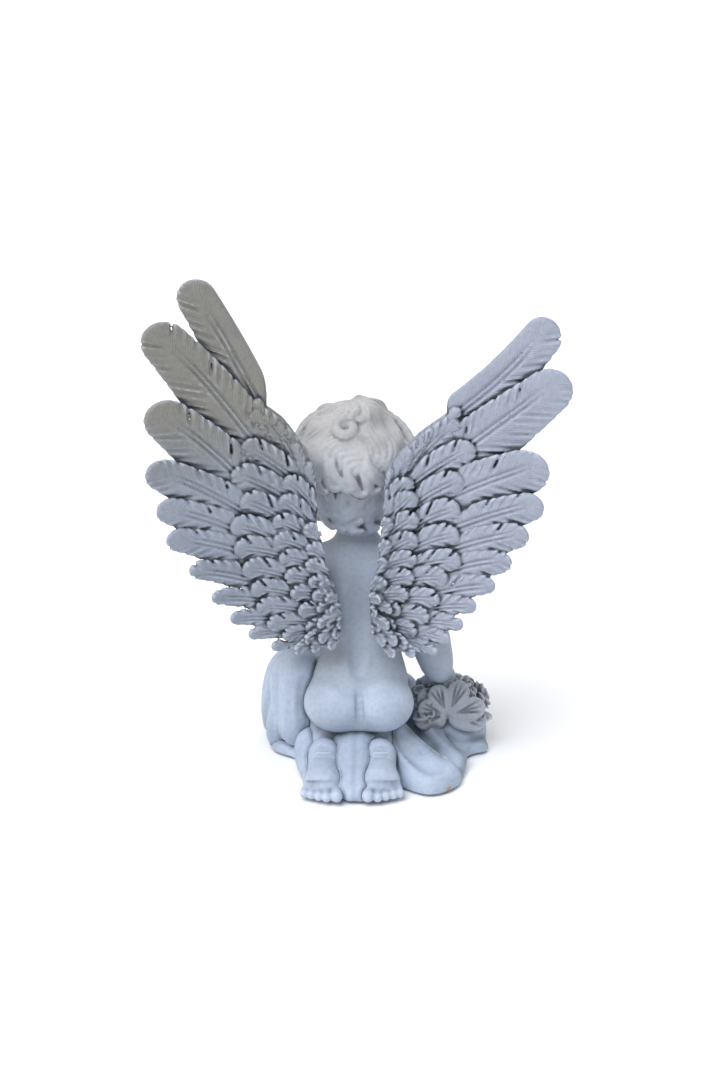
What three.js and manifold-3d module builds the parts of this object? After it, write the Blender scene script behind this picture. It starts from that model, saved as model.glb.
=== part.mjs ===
// A kneeling cherub with raised wings: a cast and painted resin ornament, glued up from nine castings on steel
// dowels, with a stopper in its core hole and a felt sheet under its base.
// Millimetres. +Z is up, the face looks along -Y, +X is the figure's own left side. The origin is the centre of the
// base, on the underside of the felt.
import * as THREE from "three";
import { mergeVertices } from "three/addons/utils/BufferGeometryUtils.js";
import Module from "manifold-3d";

const wasm = await Module();
wasm.setup();

// ---------------------------------------------------------------- driving sizes

// Bonds and clearances
const BOND_GAP = 0.3; // glue line between two castings
const PIN_CLEARANCE = 0.3; // glue film round a dowel and past each of its ends
const PLUG_CLEARANCE = 0.3; // round the stopper

// Felt, base plane and core
const FELT_THICKNESS = 1.0;
const FELT_INSET = 4.0; // from the cloth's outline to the felt's edge
const CORE_CENTRE = [-1, 8];
const CORE_MOUTH_RADIUS = 8.0;
const CORE_TOP_RADIUS = 5.0;
const CORE_TOP = 66;
const PLUG_THICKNESS = 5.0;

// Dowels
const WING_PIN = { radius: 1.3, inBody: 7, inWing: 5.5, side: 10.5, heights: [66, 80], bondY: 13.5 };
const NECK_PIN = { radius: 2.0, inBody: 12, inHead: 12 };
const ARM_PIN = { radius: 1.2, inBody: 7, inArm: 5 };
const BOUQUET_PIN = { radius: 1.0, inCloth: 5, inBouquet: 7 };

// Trunk: each ball is a centre and three radii
const CHEST = { centre: [0, 3, 76], radii: [16, 13.5, 19] };
const BELLY = { centre: [-2, 2, 54], radii: [15, 14.5, 18] };
const HIPS = { centre: [-1, 9, 35], radii: [20.5, 15, 17] };
const BUTTOCK = { x: 11, y: 16.5, z: 32, radii: [12, 13.5, 13] };
const SHOULDER = { x: 13, y: 1, z: 86, radius: 8 };
const NECK_RADIUS = 8;
const NECK_SEAM = 100.4; // height of the joint between body and head

// Folded legs: hip, knee, ankle, heel and ball of the foot, each side of the legs' own centre plane, with radii
const LEG = {
  centreX: 2,
  hip: [10.5, 6, 30],
  knee: [14, -31, 15],
  ankle: [12, 19, 11],
  heel: [11.4, 25, 11.5],
  ball: [12, 40.5, 7],
  thighRadius: 12.5,
  kneeRadius: 10,
  calfRadius: 8.5,
  ankleRadius: 6,
  heelRadius: 6.6,
  ballRadius: 6.4,
};
const TOE = { radius: 2.2, bigRadius: 2.9, length: 4.5, y: 45.5, z: 3.6, spread: 3.25, step: 1.1 };

// Head
const HEAD = { centre: [1.5, -5, 131], skull: [22.5, 23.5, 22], hair: [25, 23.5, 19] };
const FACE = { centre: [0.5, -13, 118], radii: [16.5, 14.5, 16] };
const NAPE = { centre: [1, 4, 114], radii: [17, 12, 12] };
const FORELOCK = { centre: [13, -18, 146], radii: [6, 7, 6] };

// Arms: joints and radii
const LEFT_ARM = {
  shoulder: [16.5, 0, 85],
  elbow: [29, -5, 59],
  wrist: [18, -24, 46],
  hand: { centre: [12, -29, 43], radii: [7.5, 5.5, 4] },
  radii: [8.4, 7.2, 5.2],
};
const RIGHT_ARM = {
  shoulder: [-16.5, 0, 85],
  elbow: [-28, 0, 59],
  wrist: [-35, -8, 33],
  hand: { centre: [-37, -11, 28.5], radii: [6, 7, 4.2] },
  radii: [8.4, 7.2, 5.4],
};

// Wings: the surface they lie on, and the thickness and pitch of their feather layers
const WING_ROOT_Y = 20; // depth of the wing's middle plane at the root
const WING_SWEEP = 0.26; // how far it runs back for each millimetre out
const WING_REACH = 1.0; // stretch of the wing outwards
const WING_RISE = 1.0; // stretch of the wing upwards, from its root
const WING_BASE_Z = 60;
const FEATHER = { thickness: 2.8, layerStep: 1.7, tiltDeg: 7, rootShare: 0.45 };
const WING_BONE_RADIUS = 4.6;
const WING_BOSS = { centre: [11, 15.5, 73], radii: [5.5, 6.5, 13] };

// Ground cloth: the plan outline (anticlockwise from the left foot), the height of its edge and of its middle
const CLOTH_CENTRE = [-4, -2];
const CLOTH_OUTLINE = [
  [22, 36], [24, 14], [37, 3], [40, -14], [34, -32], [18, -45], [-4, -47], [-26, -43], [-45, -28], [-56, -8],
  [-56, 3], [-47, 7], [-41, 15], [-43, 29], [-36, 38], [-28, 41], [-19, 33], [-12, 38], [2, 46], [12, 38],
];
const CLOTH_EDGE_HEIGHT = 5;
const CLOTH_MOUND = { centre: [-2, 2], height: 20, spread: [22, 30] };
const CLOTH_LOBES = [
  { centre: [-32, 27, 4], radii: [12, 13, 7.5] },
  { centre: [-44, -4, 4], radii: [13, 12, 8.5] },
];

// Lap cloth
const LAP_TOP = { centre: [1, -17, 27], radii: [29, 21, 10.5] };
const LAP_FRONT = { centre: [0, -36, 14], radii: [29, 9, 14] };
const SIDE_FALL = { centre: [31, -6, 21], radii: [7.5, 17, 22] };

// Bouquet
const BOUQUET = { centre: [-41, -9, 19.5], radii: [11.5, 10.5, 8], blossom: 4.8, ring: 9, blossoms: 8 };

// ---------------------------------------------------------------- wing feather layout

// Each feather is [tip out, tip up, base out, base up, width], seen square on, measured from the centre plane and
// from the ground. Rows run from the wing's top feather down to the one at the root.
const LEFT_ROWS = [
  { layer: 0, feathers: [
    [63, 210, 36, 151, 14.5], [77, 186, 37, 136, 16.5], [77, 159, 41, 121, 16], [79, 138, 42, 114, 12.5],
    [76, 123, 42, 106, 11], [73, 110, 40, 97, 11], [66, 96, 38, 88, 9.5], [58, 83, 33, 79, 8.5],
    [51, 73, 29, 71, 8], [44, 65, 23, 66, 7.5], [35, 58.5, 18, 61, 7] ] },
  { layer: 1, feathers: [
    [41, 159, 22, 139, 9], [45, 146, 24, 130, 10], [49, 135, 28, 123, 11], [46, 124, 30, 115, 10],
    [50, 114, 32, 106, 10], [49, 104, 29, 99, 10], [46, 95, 28, 90, 9.5], [43, 86, 25, 82, 8.5],
    [41, 78, 22, 75, 8], [37, 70, 18, 69, 7.5], [31, 64, 14, 66, 7] ] },
];
const LEFT_EDGE = [[12, 64], [15, 84], [21, 106], [21, 124], [24, 138], [38, 157]];

const RIGHT_ROWS = [
  { layer: 0, feathers: [
    [73, 195, 35, 150, 15.5], [78, 170, 37, 137, 16.5], [72, 137, 38, 121, 16], [71, 124, 40, 110, 11.5],
    [66, 111, 39, 100, 11], [60, 99, 37, 91, 10.5], [55, 88, 33, 83, 9.5], [48, 78, 29, 76, 8.5],
    [43, 69, 25, 70, 8], [38, 62, 21, 65, 7.5], [33, 56, 17, 61, 7] ] },
  { layer: 1, feathers: [
    [40, 155, 21, 136, 9], [46, 145, 24, 130, 10.5], [42, 132, 25, 122, 10], [41, 120, 24, 112, 10],
    [41, 109, 24, 103, 10], [42, 98, 24, 94, 9.5], [37, 90, 21, 88, 9], [34, 80, 18, 80, 8.5],
    [30, 72, 15, 73, 8], [25, 65, 12, 68, 7.5] ] },
];
const RIGHT_EDGE = [[12, 64], [12, 84], [17, 106], [17, 124], [21, 138], [38, 154]];

// ---------------------------------------------------------------- solids

const BALL_FACETS = [12, 7]; // round it and from pole to pole
const SMALL_FACETS = [7, 4]; // the same on toes and blossoms
const LIMB_SIDES = 10;
const PIN_SIDES = 12;

// A closed three.js geometry as a manifold-3d solid.
function solidOf(geometry) {
  const bare = geometry.clone();
  bare.deleteAttribute("normal");
  bare.deleteAttribute("uv");
  const merged = mergeVertices(bare, 1e-4);
  return new wasm.Manifold(
    new wasm.Mesh({
      numProp: 3,
      vertProperties: new Float32Array(merged.attributes.position.array),
      triVerts: new Uint32Array(merged.index.array),
    }),
  );
}

// A manifold-3d solid as a named three.js mesh.
function meshOf(name, solid, material) {
  const made = solid.getMesh();
  const points = new Float32Array(made.numVert * 3);
  for (let i = 0; i < made.numVert; i++) {
    points.set(made.vertProperties.subarray(i * made.numProp, i * made.numProp + 3), i * 3);
  }
  const geometry = new THREE.BufferGeometry();
  geometry.setAttribute("position", new THREE.BufferAttribute(points, 3));
  geometry.setIndex(new THREE.BufferAttribute(new Uint32Array(made.triVerts), 1));
  geometry.computeVertexNormals();
  const mesh = new THREE.Mesh(geometry, material);
  mesh.name = name;
  return mesh;
}

const join = (solids) => solids.reduce((whole, next) => whole.add(next));
const cutAll = (solid, tools) => tools.reduce((rest, tool) => rest.subtract(tool), solid);
const vec = (p) => new THREE.Vector3(...p);

// Resin runs into any closed hollow between its shapes, so only the outer skin is kept.
const filled = (solid) => join(solid.decompose().filter((skin) => skin.volume() > 0));

// An ellipsoid, with every radius larger by grow.
function ball({ centre, radii }, grow = 0, facets = BALL_FACETS) {
  const geometry = new THREE.SphereGeometry(1, ...facets);
  geometry.rotateX(Math.PI / 2);
  geometry.scale(...radii.map((r) => r + grow));
  geometry.translate(...centre);
  return solidOf(geometry);
}

// A round limb between two balls of their own radii.
function limb(from, to, fromRadius, toRadius, grow = 0, sides = LIMB_SIDES) {
  const start = vec(from);
  const axis = vec(to).sub(start);
  const length = axis.length();
  const r0 = fromRadius + grow;
  const r1 = toRadius + grow;
  const lean = Math.asin((r0 - r1) / length);
  const steps = 2;
  const profile = [];
  for (let i = 0; i <= steps; i++) {
    const a = -Math.PI / 2 + ((Math.PI / 2 + lean) * i) / steps;
    profile.push(new THREE.Vector2(i ? r0 * Math.cos(a) : 0, r0 * Math.sin(a)));
  }
  for (let i = 0; i <= steps; i++) {
    const a = lean + ((Math.PI / 2 - lean) * i) / steps;
    profile.push(new THREE.Vector2(i < steps ? r1 * Math.cos(a) : 0, length + r1 * Math.sin(a)));
  }
  const geometry = new THREE.LatheGeometry(profile, sides);
  geometry.applyQuaternion(new THREE.Quaternion().setFromUnitVectors(new THREE.Vector3(0, 1, 0), axis.normalize()));
  geometry.translate(...from);
  return solidOf(geometry);
}

// A round rod from one point to another.
function rod(from, to, radius) {
  const axis = vec(to).sub(vec(from));
  const geometry = new THREE.CylinderGeometry(radius, radius, axis.length(), PIN_SIDES);
  geometry.translate(0, axis.length() / 2, 0);
  geometry.applyQuaternion(
    new THREE.Quaternion().setFromUnitVectors(new THREE.Vector3(0, 1, 0), axis.clone().normalize()),
  );
  geometry.translate(...from);
  return solidOf(geometry);
}

// A dowel between two points, and the hole for it.
const dowel = ({ from, to, radius }) => rod(from, to, radius);
function dowelHole({ from, to, radius }) {
  const along = vec(to).sub(vec(from)).normalize().multiplyScalar(PIN_CLEARANCE);
  return rod(vec(from).sub(along).toArray(), vec(to).add(along).toArray(), radius + PIN_CLEARANCE);
}

const RESIN_BOTTOM = FELT_THICKNESS + BOND_GAP;

// Everything under a height, as a block to cut with.
function below(height) {
  const side = 400;
  const geometry = new THREE.BoxGeometry(side, side, side);
  geometry.translate(0, 0, height - side / 2);
  return solidOf(geometry);
}

// ---------------------------------------------------------------- dowel places

const wingPins = (side) =>
  WING_PIN.heights.map((z) => ({
    from: [side * WING_PIN.side, WING_PIN.bondY - WING_PIN.inBody, z],
    to: [side * WING_PIN.side, WING_PIN.bondY + WING_PIN.inWing, z],
    radius: WING_PIN.radius,
  }));

const neckPin = {
  from: [0, 0, NECK_SEAM - NECK_PIN.inBody],
  to: [0, 0, NECK_SEAM + NECK_PIN.inHead],
  radius: NECK_PIN.radius,
};

// An arm's dowel runs square out of the trunk at the shoulder.
function armPin(side, arm) {
  const [x, y, z] = arm.shoulder;
  return {
    from: [x - side * ARM_PIN.inBody, y, z - 1],
    to: [x + side * ARM_PIN.inArm, y, z - 1],
    radius: ARM_PIN.radius,
  };
}

const bouquetPin = {
  from: [BOUQUET.centre[0], BOUQUET.centre[1], BOUQUET.centre[2] - BOUQUET.radii[2] - BOUQUET_PIN.inCloth],
  to: [BOUQUET.centre[0], BOUQUET.centre[1], BOUQUET.centre[2] - BOUQUET.radii[2] + BOUQUET_PIN.inBouquet],
  radius: BOUQUET_PIN.radius,
};

// The tapered hole that the core leaves, up through the cloth casting into the trunk.
function core() {
  const height = CORE_TOP + 10;
  const mouth = CORE_MOUTH_RADIUS + (CORE_MOUTH_RADIUS - CORE_TOP_RADIUS) * (10 / CORE_TOP);
  const geometry = new THREE.CylinderGeometry(CORE_TOP_RADIUS, mouth, height, 24);
  geometry.rotateX(Math.PI / 2);
  geometry.translate(...CORE_CENTRE, CORE_TOP - height / 2);
  return solidOf(geometry);
}

// ---------------------------------------------------------------- body

const mirrored = ([x, y, z], side) => [side * x, y, z];

// One folded leg: thigh, shin, foot and five toes, the big toe innermost.
function leg(side, grow) {
  const at = ([x, y, z]) => [LEG.centreX + side * x, y, z];
  const toes = [-2, -1, 0, 1, 2].map((place) => {
    const radius = place === -2 ? TOE.bigRadius : TOE.radius;
    const centre = at([LEG.ball[0] + place * TOE.spread, TOE.y - Math.max(0, place) * TOE.step, TOE.z]);
    return ball({ centre, radii: [radius, TOE.length, radius] }, grow, SMALL_FACETS);
  });
  return join([
    limb(at(LEG.hip), at(LEG.knee), LEG.thighRadius, LEG.kneeRadius, grow),
    limb(at(LEG.knee), at(LEG.ankle), LEG.calfRadius, LEG.ankleRadius, grow),
    limb(at(LEG.heel), at(LEG.ball), LEG.heelRadius, LEG.ballRadius, grow),
    ...toes,
  ]);
}

function trunk(grow) {
  const { x, y, z, radius } = SHOULDER;
  const seat = (side) => ball({ centre: [side * BUTTOCK.x, BUTTOCK.y, BUTTOCK.z], radii: BUTTOCK.radii }, grow);
  const neck = rod([0, 0, z], [0, 0, NECK_SEAM - BOND_GAP / 2 + grow], NECK_RADIUS + grow);
  return join([
    ball(CHEST, grow), ball(BELLY, grow), ball(HIPS, grow), seat(1), seat(-1),
    limb([-x, y, z], [x, y, z], radius, radius - 0.2, grow), neck,
  ]);
}

const figure = (grow) => join([trunk(grow), leg(1, grow), leg(-1, grow)]);

// ---------------------------------------------------------------- head and arms

// The head stops at the neck joint, half a glue line above it.
function head(grow) {
  const { centre, skull, hair } = HEAD;
  const whole = join([
    ball({ centre, radii: skull }, grow),
    ball({ centre: [centre[0], centre[1] + 1, centre[2] + 2], radii: hair }, grow),
    ball(FACE, grow), ball(NAPE, grow), ball(FORELOCK, grow),
    rod([0, 0, NECK_SEAM + BOND_GAP / 2 - grow], centre, NECK_RADIUS + grow),
  ]);
  return whole.subtract(below(NECK_SEAM + BOND_GAP / 2 - grow));
}

function arm({ shoulder, elbow, wrist, hand, radii }, grow) {
  return join([
    limb(shoulder, elbow, radii[0], radii[1], grow),
    limb(elbow, wrist, radii[1], radii[2], grow),
    limb(wrist, hand.centre, radii[2], radii[2] - 0.4, grow),
    ball(hand, grow),
  ]);
}

// ---------------------------------------------------------------- wings

const wingX = (out) => out * WING_REACH;
const wingZ = (up) => WING_BASE_Z + (up - WING_BASE_Z) * WING_RISE;
const wingY = (out) => WING_ROOT_Y + WING_SWEEP * (wingX(out) - WING_BOSS.centre[0]);

// A feather's outline: straight sides that widen from the root, and a round tip.
function featherShape(width, length) {
  const half = width / 2;
  const shape = new THREE.Shape();
  shape.moveTo(-half * 0.7, 0);
  shape.lineTo(half * 0.7, 0);
  shape.lineTo(half, length * 0.5);
  shape.absellipse(0, length - half, half, half, 0, Math.PI, false);
  shape.lineTo(-half, length * 0.5);
  shape.closePath();
  return shape;
}

// One feather plate on the wing's surface. layer counts outwards from the wing's middle plane, towards the back for
// positive values. Its upper edge is tilted out over the feather above it.
function feather([tipOut, tipUp, baseOut, baseUp, width], layer, side) {
  const lift = layer * FEATHER.layerStep;
  const tip = new THREE.Vector3(side * wingX(tipOut), wingY(tipOut) + lift, wingZ(tipUp));
  const base = new THREE.Vector3(side * wingX(baseOut), wingY(baseOut) + lift, wingZ(baseUp));
  base.lerp(tip, -FEATHER.rootShare);
  const along = tip.clone().sub(base);
  const length = along.length();
  along.normalize();
  const back = new THREE.Vector3(-side * WING_SWEEP, 1, 0).normalize();
  const across = along.clone().cross(back).normalize();
  const out = across.clone().cross(along);
  const tilt = (Math.sign(layer + 0.5) * side * FEATHER.tiltDeg * Math.PI) / 180;
  const edge = across.clone().multiplyScalar(Math.cos(tilt)).addScaledVector(out, Math.sin(tilt));
  const face = out.clone().multiplyScalar(Math.cos(tilt)).addScaledVector(across, -Math.sin(tilt));
  const geometry = new THREE.ExtrudeGeometry(featherShape(width, length), {
    depth: FEATHER.thickness,
    bevelEnabled: false,
    curveSegments: 2,
  });
  geometry.translate(0, 0, -FEATHER.thickness / 2);
  geometry.applyMatrix4(new THREE.Matrix4().makeBasis(edge, along, face).setPosition(base));
  return solidOf(geometry);
}

// The thick leading edge, as a chain of round links.
function wingBone(edge, side) {
  const at = ([out, up]) => [side * wingX(out), wingY(out) + FEATHER.layerStep, wingZ(up)];
  const links = edge.slice(1).map((point, i) => limb(at(edge[i]), at(point), WING_BONE_RADIUS, WING_BONE_RADIUS, 0, 8));
  return join(links);
}

function wing(rows, edge, side) {
  const feathers = rows.flatMap(({ layer, feathers: row }) => row.map((f) => feather(f, layer, side)));
  const boss = ball({ centre: mirrored(WING_BOSS.centre, side), radii: WING_BOSS.radii });
  return join([...feathers, wingBone(edge, side), boss]);
}

// ---------------------------------------------------------------- cloths

const clothCurve = new THREE.CatmullRomCurve3(
  CLOTH_OUTLINE.map(([x, y]) => new THREE.Vector3(x, y, 0)),
  true,
  "catmullrom",
  0.5,
);
const CLOTH_STEPS = 40;

// The ground cloth is a round cushion profile turned about the centre, then pushed out to the outline and raised to
// a mound under the seat.
function groundCloth(grow) {
  const profile = [[0, 1], [0.3, 1], [0.6, 1], [0.92, 1], [1, 0.5], [0.97, 0], [0, 0]];
  const geometry = new THREE.LatheGeometry(profile.map(([r, h]) => new THREE.Vector2(r, h)), CLOTH_STEPS);
  geometry.rotateX(Math.PI / 2);
  const points = geometry.attributes.position;
  const [cx, cy] = CLOTH_CENTRE;
  for (let i = 0; i < points.count; i++) {
    const share = Math.hypot(points.getX(i), points.getY(i));
    const turn = Math.atan2(points.getY(i), points.getX(i)) / (2 * Math.PI);
    const edge = clothCurve.getPoint((turn + 1) % 1);
    const out = vec([edge.x - cx, edge.y - cy, 0]);
    const reach = share * (out.length() + grow);
    out.normalize();
    const x = cx + out.x * reach;
    const y = cy + out.y * reach;
    const { centre, height, spread } = CLOTH_MOUND;
    const mound = Math.exp(-(((x - centre[0]) / spread[0]) ** 2) - ((y - centre[1]) / spread[1]) ** 4);
    const top = CLOTH_EDGE_HEIGHT + height * mound + grow;
    points.setXYZ(i, x, y, RESIN_BOTTOM - grow + points.getZ(i) * (top + grow));
  }
  return join([solidOf(geometry), ...CLOTH_LOBES.map((lobe) => ball(lobe, grow))]);
}

const lapCloth = () => join([ball(LAP_TOP), ball(LAP_FRONT), ball(SIDE_FALL)]);

// The felt follows the cloth's outline, a step inside it.
function felt() {
  const [cx, cy] = CLOTH_CENTRE;
  const shape = new THREE.Shape(
    clothCurve.getPoints(CLOTH_STEPS).slice(0, -1).map((p) => {
      const out = new THREE.Vector2(p.x - cx, p.y - cy);
      out.setLength(out.length() - FELT_INSET);
      return new THREE.Vector2(cx + out.x, cy + out.y);
    }),
  );
  return solidOf(new THREE.ExtrudeGeometry(shape, { depth: FELT_THICKNESS, bevelEnabled: false }));
}

function plug() {
  const radius = CORE_MOUTH_RADIUS - PLUG_CLEARANCE;
  const slope = (CORE_MOUTH_RADIUS - CORE_TOP_RADIUS) / CORE_TOP;
  const geometry = new THREE.CylinderGeometry(
    radius - slope * (RESIN_BOTTOM + PLUG_THICKNESS), radius - slope * RESIN_BOTTOM, PLUG_THICKNESS, 24);
  geometry.rotateX(Math.PI / 2);
  geometry.translate(...CORE_CENTRE, RESIN_BOTTOM + PLUG_THICKNESS / 2);
  return solidOf(geometry);
}

// ---------------------------------------------------------------- bouquet

// Blossoms in a ring on a low cushion of petals.
function bouquet() {
  const { centre, radii, blossom, ring, blossoms } = BOUQUET;
  const heads = Array.from({ length: blossoms }, (_, i) => {
    const turn = (2 * Math.PI * i) / blossoms;
    const [x, y] = [centre[0] + ring * Math.cos(turn), centre[1] + (ring - 1.5) * Math.sin(turn)];
    return ball({ centre: [x, y, centre[2] + 1], radii: [blossom, blossom, blossom] }, 0, SMALL_FACETS);
  });
  return join([ball({ centre, radii }), ...heads]);
}

// ---------------------------------------------------------------- assembly

const stone = (color) => new THREE.MeshStandardMaterial({ color, roughness: 0.8, metalness: 0 });
const steel = () => new THREE.MeshStandardMaterial({ color: 0x9a9c9e, roughness: 0.35, metalness: 1 });

const leftPins = wingPins(1);
const rightPins = wingPins(-1);
const leftArmPin = armPin(1, LEFT_ARM);
const rightArmPin = armPin(-1, RIGHT_ARM);
const base = below(RESIN_BOTTOM); // the plane that the cast pieces are ground flat to

const body = cutAll(figure(0), [
  base, core(), ...[...leftPins, ...rightPins, neckPin, leftArmPin, rightArmPin].map(dowelHole),
]);
const bodyRoom = figure(BOND_GAP);
const headRoom = head(BOND_GAP);
const headSolid = head(0).subtract(dowelHole(neckPin));
const armSolid = (shape, pin) => cutAll(arm(shape, 0), [bodyRoom, dowelHole(pin)]);
const armRooms = [arm(LEFT_ARM, BOND_GAP), arm(RIGHT_ARM, BOND_GAP)];
const wingSolid = (rows, edge, side, pins) =>
  cutAll(filled(wing(rows, edge, side)), [bodyRoom, headRoom, ...armRooms, ...pins.map(dowelHole)]);
const clothRoom = groundCloth(BOND_GAP);
const clothSolid = cutAll(groundCloth(0), [bodyRoom, armRooms[1], base, core(), dowelHole(bouquetPin)]);
const lapSolid = cutAll(lapCloth(), [bodyRoom, ...armRooms, clothRoom, base]);
const bouquetSolid = cutAll(bouquet(), [bodyRoom, ...armRooms, clothRoom, dowelHole(bouquetPin)]);

const angel = new THREE.Group();
angel.add(
  meshOf("body_casting", body, stone(0xa9b4c6)),
  meshOf("head_casting", headSolid, stone(0xa3a8ac)),
  meshOf("left_arm_casting", armSolid(LEFT_ARM, leftArmPin), stone(0xa6afbf)),
  meshOf("right_arm_casting", armSolid(RIGHT_ARM, rightArmPin), stone(0xa6afbf)),
  meshOf("left_wing_casting", wingSolid(LEFT_ROWS, LEFT_EDGE, 1, leftPins), stone(0x989ba4)),
  meshOf("right_wing_casting", wingSolid(RIGHT_ROWS, RIGHT_EDGE, -1, rightPins), stone(0x989ba4)),
  meshOf("ground_cloth_casting", clothSolid, stone(0xa9b8cc)),
  meshOf("lap_cloth_casting", lapSolid, stone(0xa9b4c6)),
  meshOf("bouquet_casting", bouquetSolid, stone(0x93979f)),
  meshOf("left_wing_lower_pin", dowel(leftPins[0]), steel()),
  meshOf("left_wing_upper_pin", dowel(leftPins[1]), steel()),
  meshOf("right_wing_lower_pin", dowel(rightPins[0]), steel()),
  meshOf("right_wing_upper_pin", dowel(rightPins[1]), steel()),
  meshOf("neck_pin", dowel(neckPin), steel()),
  meshOf("left_arm_pin", dowel(leftArmPin), steel()),
  meshOf("right_arm_pin", dowel(rightArmPin), steel()),
  meshOf("bouquet_pin", dowel(bouquetPin), steel()),
  meshOf("base_plug", plug(), stone(0x8e9094)),
  meshOf("base_felt", felt(), new THREE.MeshStandardMaterial({ color: 0x2f3a33, roughness: 1, metalness: 0 })),
);

export default angel;
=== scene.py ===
"""A kneeling cherub with raised wings, cast in resin, painted grey, its hollows washed dark and painted with
shade.
"""
import math

import bpy
import numpy as np
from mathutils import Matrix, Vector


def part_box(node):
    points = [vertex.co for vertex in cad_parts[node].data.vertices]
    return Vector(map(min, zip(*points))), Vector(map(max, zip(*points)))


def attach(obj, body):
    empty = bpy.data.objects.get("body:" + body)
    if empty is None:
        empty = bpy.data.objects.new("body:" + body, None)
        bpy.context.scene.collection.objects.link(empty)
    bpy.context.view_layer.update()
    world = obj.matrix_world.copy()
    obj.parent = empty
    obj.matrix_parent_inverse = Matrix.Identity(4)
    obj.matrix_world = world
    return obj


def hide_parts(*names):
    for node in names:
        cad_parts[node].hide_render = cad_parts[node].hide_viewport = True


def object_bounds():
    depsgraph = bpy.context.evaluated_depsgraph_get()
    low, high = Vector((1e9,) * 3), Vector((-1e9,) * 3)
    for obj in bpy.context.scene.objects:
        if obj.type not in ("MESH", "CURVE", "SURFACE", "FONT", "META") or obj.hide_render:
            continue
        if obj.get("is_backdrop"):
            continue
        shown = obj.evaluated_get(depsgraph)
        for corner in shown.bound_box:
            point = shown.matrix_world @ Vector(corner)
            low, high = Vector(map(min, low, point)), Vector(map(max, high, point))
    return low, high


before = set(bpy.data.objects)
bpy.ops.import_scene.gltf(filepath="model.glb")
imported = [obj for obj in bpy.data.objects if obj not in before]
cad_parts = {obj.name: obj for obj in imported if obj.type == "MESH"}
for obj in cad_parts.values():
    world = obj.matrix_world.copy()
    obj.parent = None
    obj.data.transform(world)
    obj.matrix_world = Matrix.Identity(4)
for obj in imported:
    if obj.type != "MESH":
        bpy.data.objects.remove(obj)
cad_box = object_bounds()

# ------------------------------------------------------------------ body
# Trunk, hips, folded legs and feet, one casting of stone-filled resin from a clay model. The clay was built
# up from rounded masses pressed into each other, then the spine, toes and creases were cut with a loop tool.
MM = 0.001
MOST_TRIANGLES = 190000
FAR_OFF = 8.0
EVENING_ROUNDS, EVENED_SHARE = 2, 0.6
# Reaches in mm at which the hollows are sounded; they are washed dark, which also paints the shade in them.
WASH_AND_SHADE_REACHES = (0.5, 1.1, 2.4)
EDGE_GAIN = 6


class Clay:
    """A block of space in mm whose grid points hold the distance to the surface, negative inside."""

    def __init__(self, low, high, step):
        self.low = np.array(low, np.float32)
        self.step = step
        self.axes = [np.arange(a, b + step, step, dtype=np.float32) for a, b in zip(low, high)]
        self.field = np.full([len(a) for a in self.axes], FAR_OFF, np.float32)

    def blank(self):
        """An empty block of the same size."""
        return Clay(self.low, self.low + self.step * (np.array(self.field.shape) - 1.5), self.step)

    def near(self, shape, margin):
        """The part of the block within margin of a shape, as slices and as open coordinate arrays."""
        cut = []
        for axis, a, b in zip(self.axes, shape[1], shape[2]):
            first = int(np.searchsorted(axis, a - margin))
            cut.append(slice(first, max(first, int(np.searchsorted(axis, b + margin)))))
        x, y, z = (axis[c] for axis, c in zip(self.axes, cut))
        return tuple(cut), (x[:, None, None], y[None, :, None], z[None, None, :])

    def add(self, shape, blend=1.0, margin=4.5):
        """Presses a shape on, filling the angle between it and the clay over about the blend width."""
        cut, place = self.near(shape, blend + margin)
        self.field[cut] = soft_min(self.field[cut], shape[0](*place), blend)

    def carve(self, shape, blend=1.0):
        """Cuts a shape out, rounding the rim over about the blend width."""
        cut, place = self.near(shape, blend + 1.5)
        self.field[cut] = -soft_min(-self.field[cut], shape[0](*place), blend)

    def clear(self, other, gap):
        """Takes away all that lies nearer than a gap to another piece of clay."""
        at = np.argwhere(self.field < 2 * self.step)
        at = at[((at * self.step + self.low > other.low) & (at * self.step + self.low < other.high())).all(1)]
        away = gap - read(other, at * self.step + self.low)
        self.field[tuple(at.T)] = np.maximum(self.field[tuple(at.T)], away)

    def high(self):
        """The far corner of the block."""
        return self.low + self.step * (np.array(self.field.shape) - 1)

    def swell(self, height, low, high):
        """Raises the surface by a height in mm that is a function of place."""
        cut, place = self.near((None, low, high), 0)
        self.field[cut] -= height(*place)

    def trim(self, bottom, top=None):
        """Cuts the clay off flat under one height, and over another if there is one."""
        heights = self.axes[2]
        self.field = np.maximum(self.field, (np.float32(bottom) - heights)[None, None, :])
        if top is not None:
            self.field = np.maximum(self.field, (heights - np.float32(top))[None, None, :])


def soft_min(a, b, blend):
    """The smaller of two distances, less a quarter of the squared overlap of their blend widths."""
    overlap = np.maximum(blend - np.abs(a - b), 0.0)
    return np.minimum(a, b) - overlap * overlap / (4.0 * blend)


def turned(rx=0.0, ry=0.0, rz=0.0):
    """The matrix of a turn by three angles in degrees, about X, then Y, then Z."""
    a, b, c = (math.radians(t) for t in (rx, ry, rz))
    mx = np.array([[1, 0, 0], [0, math.cos(a), -math.sin(a)], [0, math.sin(a), math.cos(a)]])
    my = np.array([[math.cos(b), 0, math.sin(b)], [0, 1, 0], [-math.sin(b), 0, math.cos(b)]])
    mz = np.array([[math.cos(c), -math.sin(c), 0], [math.sin(c), math.cos(c), 0], [0, 0, 1]])
    return mz @ my @ mx


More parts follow.
